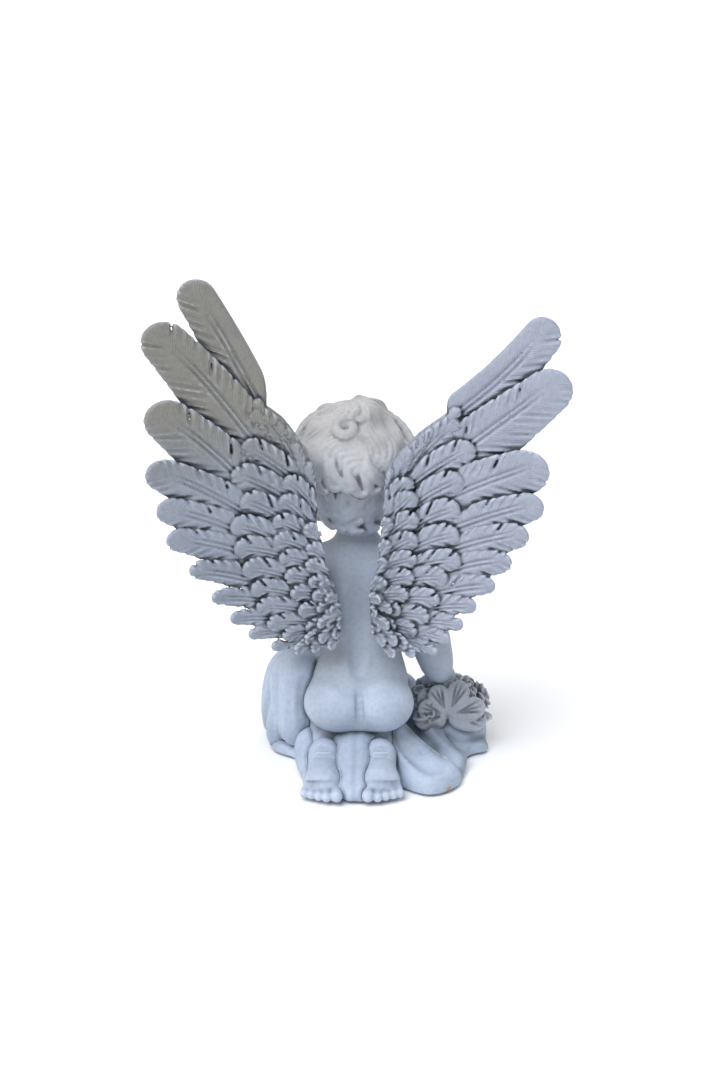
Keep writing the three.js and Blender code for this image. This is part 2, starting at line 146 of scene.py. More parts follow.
def ball(centre, radii, turn=None):
    """An ellipsoid: the length of the place over the radii, brought back to mm by its own slope."""
    centre = np.array(centre, np.float32)
    radii = np.broadcast_to(np.array(radii, np.float32), 3)
    reach = radii if turn is None else np.full(3, radii.max())

    def distance(x, y, z):
        """k0 (k0 - 1) / k1, where k0 is the length of the place over the radii and k1 over their squares."""
        p = [x - centre[0], y - centre[1], z - centre[2]]
        if turn is not None:
            p = [sum(float(turn[j, i]) * p[j] for j in range(3)) for i in range(3)]
        k0 = np.sqrt(sum((p[i] / radii[i]) ** 2 for i in range(3)))
        k1 = np.sqrt(sum((p[i] / radii[i] ** 2) ** 2 for i in range(3)))
        return k0 * (k0 - 1.0) / np.maximum(k1, 1e-5)

    return distance, centre - reach, centre + reach


def limb(a, b, ra, rb):
    """A round bar whose radius runs evenly from one end to the other."""
    a, b = np.array(a, np.float32), np.array(b, np.float32)
    way = b - a
    span = float(way @ way)

    def distance(x, y, z):
        """The distance to the nearest place on the bar's middle line, less the radius there."""
        along = ((x - a[0]) * way[0] + (y - a[1]) * way[1] + (z - a[2]) * way[2]) / span
        along = np.clip(along, 0.0, 1.0)
        gap = np.sqrt((x - a[0] - along * way[0]) ** 2 + (y - a[1] - along * way[1]) ** 2
                      + (z - a[2] - along * way[2]) ** 2)
        return gap - (ra + (rb - ra) * along)

    r = max(ra, rb)
    return distance, np.minimum(a, b) - r, np.maximum(a, b) + r


def curve(points, count):
    """A smooth line through points, as count places on Catmull-Rom stretches."""
    p = np.array(points, float)
    p = np.vstack([2 * p[0] - p[1], p, 2 * p[-1] - p[-2]])
    t = np.linspace(0, len(p) - 3 - 1e-6, count)
    i = t.astype(int)
    f = (t - i)[:, None]
    a, b, c, d = (p[i + k] for k in range(4))
    pull = (2 * a - 5 * b + 4 * c - d) * f ** 2
    return 0.5 * (2 * b + (c - a) * f + pull + (3 * b - a - 3 * c + d) * f ** 3)


def cord_of(points, radii, count=10):
    """The bars that make a smooth tapering roll of clay along a line."""
    line = curve(points, count)
    thick = np.interp(np.linspace(0, 1, count), np.linspace(0, 1, len(radii)), radii)
    return [limb(line[i], line[i + 1], thick[i], thick[i + 1]) for i in range(count - 1)]


def skin(clay):
    """The clay's surface as points in mm and four-sided faces: one point in each cell that the surface
    crosses, at the mean of its crossings, and one face round each grid line that it crosses."""
    field = clay.field
    stride = np.array([field.shape[1] * field.shape[2], field.shape[2], 1])
    rings, crossings = [], []
    for axis in range(3):
        near, far = [slice(None)] * 3, [slice(None)] * 3
        near[axis], far[axis] = slice(None, -1), slice(1, None)
        a, b = field[tuple(near)], field[tuple(far)]
        at = np.argwhere((a < 0) != (b < 0))
        va, vb = a[tuple(at.T)], b[tuple(at.T)]
        crossing = at.astype(float)
        crossing[:, axis] += va / (va - vb)
        side_u, side_v = stride[(axis + 1) % 3], stride[(axis + 2) % 3]
        cell = at @ stride
        ring = np.stack([cell - side_u - side_v, cell - side_v, cell, cell - side_u], 1)
        ring[va >= 0] = ring[va >= 0][:, ::-1]
        rings.append(ring)
        crossings.append(crossing)
    ring, crossing = np.vstack(rings), np.vstack(crossings)
    point = np.unique(ring.ravel(), return_inverse=True)[1].reshape(-1)
    shared = np.bincount(point)
    place = [np.bincount(point, np.repeat(crossing[:, c], 4)) / shared for c in range(3)]
    return np.stack(place, 1) * clay.step + clay.low, point.reshape(-1, 4)


def read(clay, points):
    """The clay's distance at any places, evenly blended between grid points."""
    g = (points - clay.low) / clay.step
    g = np.clip(g, 0, np.array(clay.field.shape) - 1.001)
    i = g.astype(int)
    f = g - i
    total = 0.0
    for dx in (0, 1):
        for dy in (0, 1):
            for dz in (0, 1):
                w = np.abs(1 - dx - f[:, 0]) * np.abs(1 - dy - f[:, 1]) * np.abs(1 - dz - f[:, 2])
                total = total + w * clay.field[i[:, 0] + dx, i[:, 1] + dy, i[:, 2] + dz]
    return total


def slope(clay, points):
    """Which way the clay's distance grows fastest at places, at its own steepness."""
    h = clay.step * 0.75
    return np.stack([read(clay, points + h * e) - read(clay, points - h * e) for e in np.eye(3)], 1) / (2 * h)


def hollowness(clay, points, normal, reaches):
    """How much nearer the surface stays than it should when going straight out of it: 0 on flat or swelling
    places, towards 1 deep in a hollow."""
    found = 0.0
    for reach in reaches:
        found = found + np.clip(1 - read(clay, points + normal * reach) / reach, 0, 1) / len(reaches)
    return found


def thinned(piece, share):
    """Keeps a share of a piece's triangles, taking them from the places that are nearly flat."""
    thinner = piece.modifiers.new("thinner", "DECIMATE")
    thinner.ratio = share
    graph = bpy.context.evaluated_depsgraph_get()
    mesh = bpy.data.meshes.new_from_object(piece.evaluated_get(graph), preserve_all_data_layers=True,
                                           depsgraph=graph)
    piece.modifiers.clear()
    piece.data = mesh


def cast(clay, name, bend=None, flip=False, others=(), extra=None):
    """A finished mesh object from clay: skinned, evened out, set on the true surface, and given the two paint
    masks, hollow for where the paint is washed dark and shade is painted, and edge for where a pale dry brush
    catches and a highlight is painted. Bend moves the finished points, flip turns the faces over, the hollow
    mask also grows against others, for washing and painted shade in the joins, and extra gives more masks."""
    seal(clay)
    points, faces = skin(clay)
    ends = np.vstack([faces[:, [0, 1]], faces[:, [1, 2]], faces[:, [2, 3]], faces[:, [3, 0]]])
    count = np.bincount(ends.ravel(), minlength=len(points))[:, None]

    def evened(values):
        """The mean of the values at each point's neighbours."""
        mean = [np.bincount(ends[:, 0], values[ends[:, 1], c], len(points))
                + np.bincount(ends[:, 1], values[ends[:, 0], c], len(points)) for c in range(values.shape[1])]
        return np.stack(mean, 1) / count

    for _ in range(EVENING_ROUNDS):
        points = (1 - EVENED_SHARE) * points + EVENED_SHARE * evened(points)
        way = slope(clay, points)
        steep = np.maximum((way ** 2).sum(1), 0.2)
        push = np.clip(read(clay, points) / steep, -clay.step, clay.step)
        points = points - way * push[:, None]
    way = slope(clay, points)
    normal = way / np.maximum(np.linalg.norm(way, axis=1), 1e-6)[:, None]
    hollow = hollowness(clay, points, normal, WASH_AND_SHADE_REACHES)
    edge = np.clip(((points - evened(points)) * normal).sum(1) / clay.step * EDGE_GAIN, 0, 1)
    layers = {} if extra is None else extra(points)
    points = points if bend is None else bend(points)
    # Against neighbouring pieces the hollow mask grows: washing in the joins, and painted shade where parts
    # meet.
    for other in others:
        wash_and_shade_between = np.clip(1 - read(other, points) / WASH_AND_SHADE_REACHES[-1], 0, 1)
        hollow = np.maximum(hollow, wash_and_shade_between * 0.7)
    layers["hollow"], layers["edge"] = evened(np.stack([hollow, edge], 1)).T
    faces = faces[:, ::-1] if flip else faces
    mesh = bpy.data.meshes.new(name)
    mesh.vertices.add(len(points))
    mesh.vertices.foreach_set("co", (points * MM).astype(np.float32).ravel())
    mesh.loops.add(faces.size)
    mesh.loops.foreach_set("vertex_index", faces.ravel().astype(np.int32))
    mesh.polygons.add(len(faces))
    mesh.polygons.foreach_set("loop_start", np.arange(0, faces.size, 4, dtype=np.int32))
    mesh.polygons.foreach_set("loop_total", np.full(len(faces), 4, np.int32))
    mesh.update(calc_edges=True)
    mesh.validate()
    mesh.shade_smooth()
    for layer, values in layers.items():
        mesh.attributes.new(layer, "FLOAT", "POINT").data.foreach_set(
            "value", np.ascontiguousarray(values, dtype=np.float32))
    piece = bpy.data.objects.new(name, mesh)
    bpy.context.collection.objects.link(piece)
    if 2 * len(faces) > MOST_TRIANGLES:
        thinned(piece, MOST_TRIANGLES / (2 * len(faces)))
    return piece


def seal(clay):
    """Fills every pocket of air that no way leads to from the edge of the block."""
    air = clay.field > 0
    reached = np.zeros_like(air)
    for axis in range(3):
        for end in (0, -1):
            side = [slice(None)] * 3
            side[axis] = end
            reached[tuple(side)] = air[tuple(side)]
    total = -1
    while reached.sum() != total:
        total = reached.sum()
        for axis in range(3):
            r, a = np.moveaxis(reached, axis, 0), np.moveaxis(air, axis, 0)
            for i in range(1, len(r)):
                r[i] |= r[i - 1] & a[i]
            for i in range(len(r) - 2, -1, -1):
                r[i] |= r[i + 1] & a[i]
    clay.field[air & ~reached] = -1.0


def linear(colour, strength=1.0):
    """A hex colour as Blender's linear red, green and blue."""
    parts = [int(colour[i:i + 2], 16) / 255 for i in (1, 3, 5)]
    return [strength * (c / 12.92 if c <= 0.04045 else ((c + 0.055) / 1.055) ** 2.4) for c in parts] + [1.0]


def node(material, kind, settings=None, **inputs):
    """Adds a node with its settings; each input is a value, or another node's output that is linked to it."""
    tree = material.node_tree
    made = tree.nodes.new("ShaderNode" + kind)
    for name, value in (settings or {}).items():
        setattr(made, name, value)
    for name, value in inputs.items():
        key = int(name[1:]) if name[0] == "_" and name[1:].isdigit() else name.replace("_", " ")
        socket = made.inputs[key]
        if isinstance(value, bpy.types.NodeSocket):
            tree.links.new(value, socket)
        else:
            socket.default_value = value
    return made


def blank_material(name):
    """A material with a Principled shader, its Object coordinates and nothing else."""
    material = bpy.data.materials.new(name)
    material.use_nodes = True
    shader = material.node_tree.nodes["Principled BSDF"]
    place = node(material, "TexCoord").outputs["Object"]
    return material, shader, place


def mixed(material, share, a, b):
    """Two colours mixed by a share."""
    made = node(material, "Mix", {"data_type": "RGBA", "clamp_factor": True}, _0=share)
    for socket, value in ((made.inputs[6], a), (made.inputs[7], b)):
        if isinstance(value, bpy.types.NodeSocket):
            material.node_tree.links.new(value, socket)
        else:
            socket.default_value = value
    return made.outputs[2]


def ranged(material, value, low, high, to_low=0.0, to_high=1.0):
    """A value brought from one range to another, smoothly and kept inside it."""
    made = node(material, "MapRange", {"interpolation_type": "SMOOTHSTEP"}, Value=value)
    for socket, number in zip(("From Min", "From Max", "To Min", "To Max"), (low, high, to_low, to_high)):
        made.inputs[socket].default_value = number
    return made.outputs["Result"]


def noise(material, place, period_mm, detail=3.0, rough=0.5):
    """Clouded noise whose patches are about a period wide."""
    made = node(material, "TexNoise", Vector=place, Scale=1000 / period_mm, Detail=detail, Roughness=rough)
    return made.outputs["Fac"]


def maths(material, operation, a, b=0.0):
    """Arithmetic on two values."""
    return node(material, "Math", {"operation": operation}, _0=a, _1=b).outputs[0]


# Real barbs are finer than this period in mm: they are drawn as coarse as they need to be to show.
BARB_PERIOD = 1.5


def painted_resin(name, base, cloud, pale, wash_and_shade, wash_and_shade_share=0.85, tint=None, feathered=False):
    """Cast polyresin under matt acrylic paint: clouded base colour, the hollows washed dark, which also
    paints the shade in them, pale dry brush on the edges, which also paints a highlight on them, and a faint
    grain.
    Tint changes the base further; feathered adds fine barbs, with washing and painted shade in their valleys."""
    material, shader, place = blank_material(name)
    cloudy = ranged(material, noise(material, place, 26), 0.38, 0.62)
    colour = mixed(material, cloudy, linear(base), linear(cloud))
    if tint is not None:
        colour = tint(material, place, colour)
    speck = ranged(material, noise(material, place, 1.6, 2), 0.35, 0.75, 0.0, 0.16)
    colour = mixed(material, speck, colour, linear(wash_and_shade))
    # The hollows are washed dark, and this darkening also paints the shade that falls in them.
    hollow = node(material, "Attribute", {"attribute_name": "hollow"}).outputs["Fac"]
    uneven = ranged(material, noise(material, place, 7, 4), 0.3, 0.7, 0.75, 1.2)
    washed_and_shaded = maths(material, "MULTIPLY", ranged(material, hollow, 0.12, 0.55), uneven)
    colour = mixed(material, maths(material, "MULTIPLY", washed_and_shaded, wash_and_shade_share), colour, linear(wash_and_shade))
    # The edges take a pale dry brush, and this lightening also paints a highlight where light catches them.
    edge = node(material, "Attribute", {"attribute_name": "edge"}).outputs["Fac"]
    dry_brush_and_highlight = ranged(material, edge, 0.25, 0.9)
    pale_edge = maths(material, "MULTIPLY", dry_brush_and_highlight, ranged(material, cloudy, 0, 1, 0.35, 0.6))
    colour = mixed(material, pale_edge, colour, linear(pale))
    grain = noise(material, place, 0.7, 3, 0.6)
    brush = noise(material, node(material, "Mapping", Vector=place, Scale=(1.0, 1.0, 0.3)).outputs[0], 2.6, 2)
    height = maths(material, "ADD", maths(material, "MULTIPLY", grain, 0.35), brush)
    if feathered:
        along = node(material, "Attribute", {"attribute_name": "along"}).outputs["Fac"]
        across = node(material, "Attribute", {"attribute_name": "across"}).outputs["Fac"]
        slant = maths(material, "MULTIPLY", maths(material, "ABSOLUTE", across), -1.3)
        slant = maths(material, "ADD", along, slant)
        bent = maths(material, "ADD", slant, maths(material, "MULTIPLY", noise(material, place, 4, 3), 4.0))
        barbs = maths(material, "SINE", maths(material, "MULTIPLY", bent, 2 * math.pi / BARB_PERIOD))
        height = maths(material, "ADD", height, maths(material, "MULTIPLY", barbs, 0.4))
        # The barbs' valleys are darkened like the hollows: washing that also paints their shade.
        streak = maths(material, "MULTIPLY", ranged(material, barbs, -0.9, 0.2, 1.0, 0.0), 0.07)
        colour = mixed(material, streak, colour, linear(wash_and_shade))
    bump = node(material, "Bump", Height=height, Strength=1.0, Distance=0.00012)
    tree = material.node_tree
    tree.links.new(colour, shader.inputs["Base Color"])
    tree.links.new(bump.outputs[0], shader.inputs["Normal"])
    rough = ranged(material, noise(material, place, 5), 0.3, 0.7, 0.56, 0.72)
    tree.links.new(rough, shader.inputs["Roughness"])
    shader.inputs["IOR"].default_value = 1.49
    return material


def fit(piece, node_name, material):
    """Puts a piece in the place of its CAD node and gives it its material."""
    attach(piece, "root")
    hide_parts(node_name)
    piece.data.materials.append(material)


def trunk_clay(clay):
    """Back, belly, hips and seat."""
    clay.add(ball((0, 2.5, 76), (16, 12.5, 20)))
    clay.add(ball((-2.6, 1, 54), (15, 14, 18)), 9)
    clay.add(ball((-1.2, 9.0, 36), (19.8, 14.0, 18)), 9)
    clay.add(ball((-1, 13, 26), (20.6, 13.0, 8.5)), 5)
    clay.add(ball((0.8, 6, 14), (19.0, 14, 9)), 6)
    for x in (8.5, -10.5):
        clay.add(ball((x, 17, 30.5), (13.0, 13.2, 11.8)), 2.2)
        clay.add(ball((x * 0.86, 8.5, 80), (6.5, 5, 12)), 6)
    clay.add(limb((-12.5, 1, 85.5), (11.5, 1, 85.5), 7.6, 7.6), 5)
    clay.add(limb((-6, 0.5, 91), (5, 0.5, 91), 6, 6), 6)
    clay.add(limb((-0.3, 0.5, 88), (0.3, -1.2, 106), 8.4, 7.6), 5)


def groove(clay, points, radius, blend):
    """A groove cut by a round tool drawn along a line."""
    for bar in cord_of(points, [radius * 0.6, radius, radius * 0.6], 8):
        clay.carve(bar, blend)


def leg_clay(clay, centre, side):
    """A folded leg: thigh forward, shin back beneath it, and the foot's sole turned up."""
    def at(out, y, z):
        """A place, out from the line between the legs on this leg's side."""
        return centre + side * out, y, z
    clay.add(limb(at(9.8, 6, 27.5), at(13.4, -30, 15.5), 11.4, 9.6), 5)
    clay.add(limb(at(14, -31, 12), at(12, 17, 11), 8.6, 6.2), 4)
    clay.add(ball(at(11.4, 26.5, 11.6), (6.0, 6.8, 6.6)), 2)
    clay.add(limb(at(11.5, 28, 10.2), at(11.8, 38.0, 7.4), 6.3, 6.6), 3)
    clay.add(ball(at(11.8, 41, 6.4), (7.5, 5.2, 5.6)), 3)
    clay.add(ball(at(9.8, 42.2, 6.3), (4.4, 3.6, 4.4)), 2)
    clay.add(ball(at(14.4, 41.4, 5.8), (4.2, 3.4, 4.2)), 2)
    radii = (2.5, 1.95, 1.85, 1.8, 1.75)
    outs = (6.3, 10.3, 13.5, 16.5, 19.3)
    for i, (radius, out) in enumerate(zip(radii, outs)):
        y = 48.6 - max(0, i - 1) * 1.2
        start = at(out * 0.9 + 1.2, 41.5, 4.6)
        toe = limb(start, at(out, y - radius * 0.5, 1.4 + radius), radius * 0.85, radius)
        clay.add(toe, 0.7)
        clay.add(ball(at(out, y, 1.5 + radius), (radius * 1.02, radius * 1.05, radius)), 0.5)


def toe_creases(clay, centre, side):
    """The creases of the sole: one under the toes, one behind the ball and a soft one at the heel."""
    def at(out, y, z):
        """A place, out from the line between the legs on this leg's side."""
        return centre + side * out, y, z
    groove(clay, [at(3.4, 44.6, 7.4), at(8, 46.6, 8.4), at(14, 46.2, 8.0), at(20.4, 42.4, 6.6)], 1.1, 1.4)
    groove(clay, [at(6.2, 34.2, 15.0), at(11.6, 35.0, 15.4), at(16.8, 34, 14.8)], 1.0, 1.4)
    groove(clay, [at(7.4, 31.2, 16.6), at(11.6, 31.8, 17.0), at(15.6, 31, 16.5)], 1.0, 1.2)


FIGURE_LOW, FIGURE_HIGH, FIGURE_STEP = (-46, -46, -1), (40, 54, 112), 0.6
LEG_CENTRE = 2.0
RESIN_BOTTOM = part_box("body_casting")[0][2] / MM

body = Clay(FIGURE_LOW, FIGURE_HIGH, FIGURE_STEP)
trunk_clay(body)
for leg_side in (1, -1):
    leg_clay(body, LEG_CENTRE, leg_side)
for leg_side in (1, -1):
    toe_creases(body, LEG_CENTRE, leg_side)
groove(body, [(0, 18.5, 88), (-0.6, 18, 74), (-1.4, 17.5, 60), (-1.4, 21.5, 47)], 1.6, 6)
groove(body, [(-0.4, 23.2, 41.5), (-0.7, 25.2, 37), (-1.0, 27.2, 32), (-1.3, 27.6, 27), (-1.6, 26, 22.5)],
       1.25, 1.3)
UNDER_SEAT = ((3, 29.5, 19.6), (10, 31.5, 19.4), (18, 29, 20), (22, 24, 22))
for side in (1, -1):
    groove(body, [(LEG_CENTRE + side * out, y, z) for out, y, z in UNDER_SEAT], 1.5, 2.2)
groove(body, [(-3, -14.2, 50.5), (-1.5, -14.8, 50), (0, -14.2, 50.5)], 0.9, 1.6)

# ------------------------------------------------------------------ arms
# Two chubby arms, cast on their own and bonded on at the shoulders: one hand rests on the lap, the other
# reaches down to the flowers. Palms are flattened masses, fingers are rolls of clay. The body is cast here,
# once the arms are parted from it.
BOND_LINE = 0.12
BOND_OVERLAP = 0.5
# The body's neck ends at this height, inside the head's.
NECK_TOP = 101.4
FINGER_RADII = (2.2, 2.3, 2.1, 1.8)


def roll(clay, points, radii, blend, count=10, margin=4.5):
    """A bent roll of clay through points, its radius running through the given ones."""
    for bar in cord_of(points, radii, count):
        clay.add(bar, blend, margin)


def fingers(arm, palm, bulge, ends):
    """Four fingers, each a roll from the palm over a knuckle to a tip, pushed out half way by the bulge."""
    for knuckle, tip in ends:
        middle = [(a + b) / 2 + c for a, b, c in zip(knuckle, tip, bulge)]
        roll(arm, [palm, knuckle, middle, tip], FINGER_RADII, 1.0, 8)


def parted(figure, limb_clay, blend):
    """Melts an arm into the body and parts the two again along the shoulder, where the joint is filled and
    painted over, so that one runs a little way under the other."""
    melted = soft_min(figure.field, limb_clay.field, blend)
    seam = (limb_clay.field - figure.field) / 2
    figure.field = np.maximum(melted, -BOND_OVERLAP - seam)
    limb_clay.field = np.maximum(melted, seam - BOND_OVERLAP)


def shaded_back(material, place, colour):
    """Painted shade cast by the wings: from the waist up, the back between the wings and the arms are painted
    a duller grey than the hips and legs.
    """
    height = node(material, "SeparateXYZ", Vector=place).outputs["Z"]
    return mixed(material, ranged(material, height, 0.032, 0.05, 0.0, 0.85), colour, linear("#9CA5B0"))


left_arm = body.blank()
roll(left_arm, [(12, 0, 86), (19.5, 0, 82), (26, -2.5, 70), (28.5, -6, 60)], [7.6, 8.3, 7.6, 6.9], 3)
roll(left_arm, [(28.5, -6, 60), (26.5, -13, 53.5), (20.5, -21, 46.5), (16.5, -25, 42.7)],
     [6.9, 7.2, 5.9, 4.7], 3)
left_arm.add(ball((12.5, -29, 40.0), (6.2, 7.2, 3.7), turned(rx=14, rz=32)), 2.5)
fingers(left_arm, (12, -30, 39.8), (0, 0, 1.2),
        (((14.6, -34.2, 39.8), (13.5, -41, 34.6)), ((11.4, -34.6, 39.8), (9.4, -41.6, 35)),
         ((8.4, -33.4, 39.2), (5.6, -39.8, 35.2)), ((6.4, -31.2, 38.4), (2.8, -36.4, 35.6))))
roll(left_arm, [(16.5, -27, 40.2), (18.2, -30.5, 38.7), (18.6, -34.5, 36.8)], [2.8, 2.5, 2.1], 1.5, 6)
parted(body, left_arm, 4)

right_arm = body.blank()
roll(right_arm, [(-12, 0, 86), (-19.5, 0, 82), (-25.4, 0, 70), (-28, -0.5, 59.5)], [7.6, 8.3, 7.6, 7.1], 3)
roll(right_arm, [(-28, -0.5, 59.5), (-30.6, -1, 51), (-33, -3.4, 42), (-34.6, -6.2, 35)],
     [7.1, 7.4, 6.4, 5.1], 3)
right_arm.add(ball((-36.2, -8.8, 30.4), (6.0, 4.6, 6.6), turned(rx=18, ry=12)), 2.5)
fingers(right_arm, (-36.6, -9.6, 29.4), (0, -1, 1),
        (((-32.6, -13.4, 27.6), (-33, -19, 22.4)), ((-35.4, -14.6, 27), (-36.6, -20.6, 22)),
         ((-38.6, -14.6, 27), (-40.6, -20.4, 22)), ((-41.4, -13, 27.4), (-44.4, -18, 22.6))))
roll(right_arm, [(-33, -8, 30), (-29.6, -11, 27), (-28.4, -14.5, 23.6)], [2.6, 2.4, 2.0], 1.5, 6)
parted(body, right_arm, 4)
body.trim(RESIN_BOTTOM, NECK_TOP)

skin_paint = painted_resin("painted polyresin, figure", "#B4C0D0", "#A3AFBE", "#D3DDEB", "#5F6873", 0.6,
                           shaded_back)
fit(cast(body, "body_resin"), "body_casting", skin_paint)
fit(cast(left_arm, "left_arm_resin"), "left_arm_casting", skin_paint)
fit(cast(right_arm, "right_arm_resin"), "right_arm_casting", skin_paint)

# ------------------------------------------------------------------ head
# The head with its neck, cast on its own. The face is calm, with lowered lids; the hair is laid on in wavy
# locks combed from the crown, in two tiers at the back, with a curled forelock and small curls at the ends.
HEAD_STEP = 0.45
HEAD_CENTRE = np.array((1.3, -4.5, 130.3))
HEAD_PITCH = 7.0
NECK_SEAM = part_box("head_casting")[0][2] / MM

head = Clay((-29, -38, 97), (31, 26, 161), HEAD_STEP)
head_turn = turned(rx=HEAD_PITCH)


def on_head(side, forward, up):
    """A place given from the skull's centre as seen by the head itself."""
    return tuple(HEAD_CENTRE + head_turn @ np.array((side, -forward, up)))


def head_ball(place, radii, blend):
    """A rounded mass on the head; its radii run sideways, forwards and up."""
    head.add(ball(on_head(*place), radii, head_turn), blend)


EYE = (7.8, 16.3, -6.6)
EYE_RADII = (4.8, 4.6, 4.2)


def on_eye(side, x, up, lift=0.0):
    """A place on the closed lid, x out from the nose and up from the skull's centre."""
    flat = ((x - EYE[0]) / EYE_RADII[0]) ** 2 + ((up - EYE[2]) / EYE_RADII[2]) ** 2
    return on_head(side * x, EYE[1] + EYE_RADII[1] * math.sqrt(max(0.05, 1 - flat)) + lift, up)


head_ball((0, 0, 0), (20.6, 21.5, 21), 1)
head_ball((0, 6.8, -12.0), (16.8, 14.6, 15), 6)
head_ball((0, 15.6, -22.8), (5.0, 4.6, 4.4), 6)
head_ball((0, 17.0, -17.0), (7.6, 4.9, 6.2), 5)
for side in (1, -1):
    head_ball((side * 9.6, 12.6, -13.8), (7.6, 8.2, 7.6), 5)
    head.carve(ball(on_head(side * 8.0, 25.6, -6.2), (5.4, 4.4, 3.4), head_turn), 4)
    head_ball((side * EYE[0], EYE[1], EYE[2]), EYE_RADII, 1.8)
roll(head, [on_head(0, 19.7, -4.5), on_head(0, 20.9, -8.5), on_head(0, 22.5, -11.6)], [1.0, 1.1, 1.4], 2.6, 8)
head_ball((0, 23.0, -12.2), (2.0, 2.0, 1.8), 1.4)
for side in (1, -1):
    head_ball((side * 2.2, 21.5, -12.8), (1.5, 1.9, 1.35), 1.3)
    head.carve(ball(on_head(side * 1.3, 22.4, -14.5), (0.6, 0.9, 0.5), head_turn), 0.7)
    upper = ((0.2, 21.5, -17.3), (1.4, 21.4, -16.9), (3.8, 19.9, -17.9))
    roll(head, [on_head(side * a, f, u) for a, f, u in upper], [1.1, 1.15, 0.6], 1.8, 8)
    lower = ((0.0, 21.2, -19.9), (1.8, 20.9, -19.6), (3.5, 19.8, -18.6))
    roll(head, [on_head(side * a, f, u) for a, f, u in lower], [1.45, 1.3, 0.6], 1.8, 7)
MOUTH = ((-4.2, 20.9, -18.0), (-2.0, 22.5, -18.45), (0, 23.0, -18.6), (2.0, 22.5, -18.45), (4.2, 20.9, -18.0))
groove(head, [on_head(*p) for p in MOUTH], 0.8, 0.8)
groove(head, [on_head(-2.4, 21.3, -22.0), on_head(0, 21.7, -22.2), on_head(2.4, 21.3, -22.0)], 0.9, 2.5)
groove(head, [on_head(0, 23.1, -15.2), on_head(0, 23.3, -16.4)], 0.8, 1.4)
LID = ((3.9, -7.2), (5.6, -8.6), (7.9, -9.3), (10.2, -8.7), (12.0, -7.3))
CREASE = ((4.2, -5.4), (5.8, -3.9), (7.9, -3.3), (10.1, -3.9), (11.8, -5.3))
for side in (1, -1):
    groove(head, [on_eye(side, x, up, 0.4) for x, up in LID], 0.8, 0.8)
    groove(head, [on_eye(side, x, up, 0.6) for x, up in CREASE], 0.8, 1.0)
    roll(head, [on_eye(side, x, up + 0.95, -0.1) for x, up in LID], [0.3, 0.5, 0.5, 0.3], 0.8, 8)
    head_ball((side * 19.8, -0.5, -8.5), (2.6, 3.8, 5.2), 2)
    head.carve(ball(on_head(side * 22.2, 0.6, -8), (1.5, 2.0, 3.0), head_turn), 1)
head.add(limb(on_head(0, -2.5, -15), (0.1, -0.7, 100.4), 8.6, 7.85), 4)
head.add(limb((0.3, -1.2, 106), (-0.3, 0.5, 94), 7.75, 8.35), 2)

HAIR_CENTRE = np.array((0.3, -1.5, 0.2))
HAIR_RADII = np.array((23.4, 23.0, 20.4))
CROWN_TURN = turned(rx=-18)
STRANDS_ROUND = 46
STRAND_HEIGHT = 0.42
hair = head.blank()


def scalp(round_degrees, down_degrees, lift=0.0):
    """A place on the hair, turned round from the face to the figure's left, and down from the crown."""
    a, b = math.radians(round_degrees), math.radians(down_degrees)
    way = CROWN_TURN @ np.array((math.sin(a) * math.sin(b), -math.cos(a) * math.sin(b), math.cos(b)))
    reach = 1 / math.sqrt(sum((w / r) ** 2 for w, r in zip(way, HAIR_RADII))) + lift
    return np.array((way[0], -way[1], way[2])) * reach + HAIR_CENTRE


def combed(x, y, z):
    """How far the combed strands stand up: ridges run from the crown, swirling and waving downwards."""
    p = [x - HEAD_CENTRE[0], y - HEAD_CENTRE[1], z - HEAD_CENTRE[2]]
    turn = (head_turn @ CROWN_TURN).astype(np.float32)
    a, b, c = (sum(turn[j, i] * p[j] for j in range(3)) for i in range(3))
    a = a - HAIR_CENTRE[0]
    level = np.hypot(a, b)
    down = np.arctan2(level, c)
    around = np.arctan2(a, -b) + 0.5 * down + 0.16 * np.sin(down * 6 + 2 * np.sin(np.arctan2(a, -b) * 3))
    fine = np.abs(np.sin(around * STRANDS_ROUND / 2))
    broad = np.sin(around * 9 + 2 * np.sin(down * 3)) * 0.5 + np.sin(down * 7.5 + around * 4) * 0.5
    patchy = 0.6 + 0.4 * np.sin(a * 0.31 + 1.2 * np.sin(c * 0.24)) * np.sin(b * 0.27 + c * 0.2)
    return (STRAND_HEIGHT * fine * patchy * 1.5 + 1.2 * broad) * np.clip(level / 9, 0, 1)


def lock(points, thick, strands=3, count=16):
    """A lock of hair through head places: a flat roll with combed strands side by side along its outside."""
    line = curve([on_head(*p) for p in points], count)
    along = np.gradient(line, axis=0)
    along /= np.linalg.norm(along, axis=1)[:, None]
    outward = line - HEAD_CENTRE
    outward -= (outward * along).sum(1)[:, None] * along
    outward /= np.linalg.norm(outward, axis=1)[:, None]
    aside = np.cross(along, outward)
    wide = np.interp(np.linspace(0, 1, count), np.linspace(0, 1, len(thick)), thick)
    line = line - outward * (wide * 0.35)[:, None]
    for i in range(count - 1):
        hair.add(limb(line[i], line[i + 1], wide[i], wide[i + 1]), 1.1)
    for k in np.linspace(-0.72, 0.72, strands):
        strand = line + aside * (wide * k)[:, None] + outward * (wide * math.sqrt(1 - k * k) * 0.8)[:, None]
        for i in range(count - 1):
            hair.add(limb(strand[i], strand[i + 1], wide[i] * 0.36, wide[i + 1] * 0.36), 0.3, 2)


def ringlet(place, size, thick, turns=1.2, start=0.0, sink=2.0):
    """A curl coiled flat on the head: a spiral that narrows and falls from its rim into a pit."""
    place = np.array(place)
    out = (place - HAIR_CENTRE) / np.linalg.norm(place - HAIR_CENTRE)
    flat = np.cross(out, (0.3, 0.2, 1.0))
    flat /= np.linalg.norm(flat)
    rise = np.cross(flat, out)
    points = []
    for t in np.linspace(0, 1, 10):
        turn = start + t * turns * 2 * math.pi
        reach = size * (1 - 0.6 * t)
        points.append(place + flat * reach * math.cos(turn) + rise * reach * math.sin(turn)
                      - out * sink * t * t)
    lock(points, [thick * 0.8, thick, thick * 0.6], 3, 20)


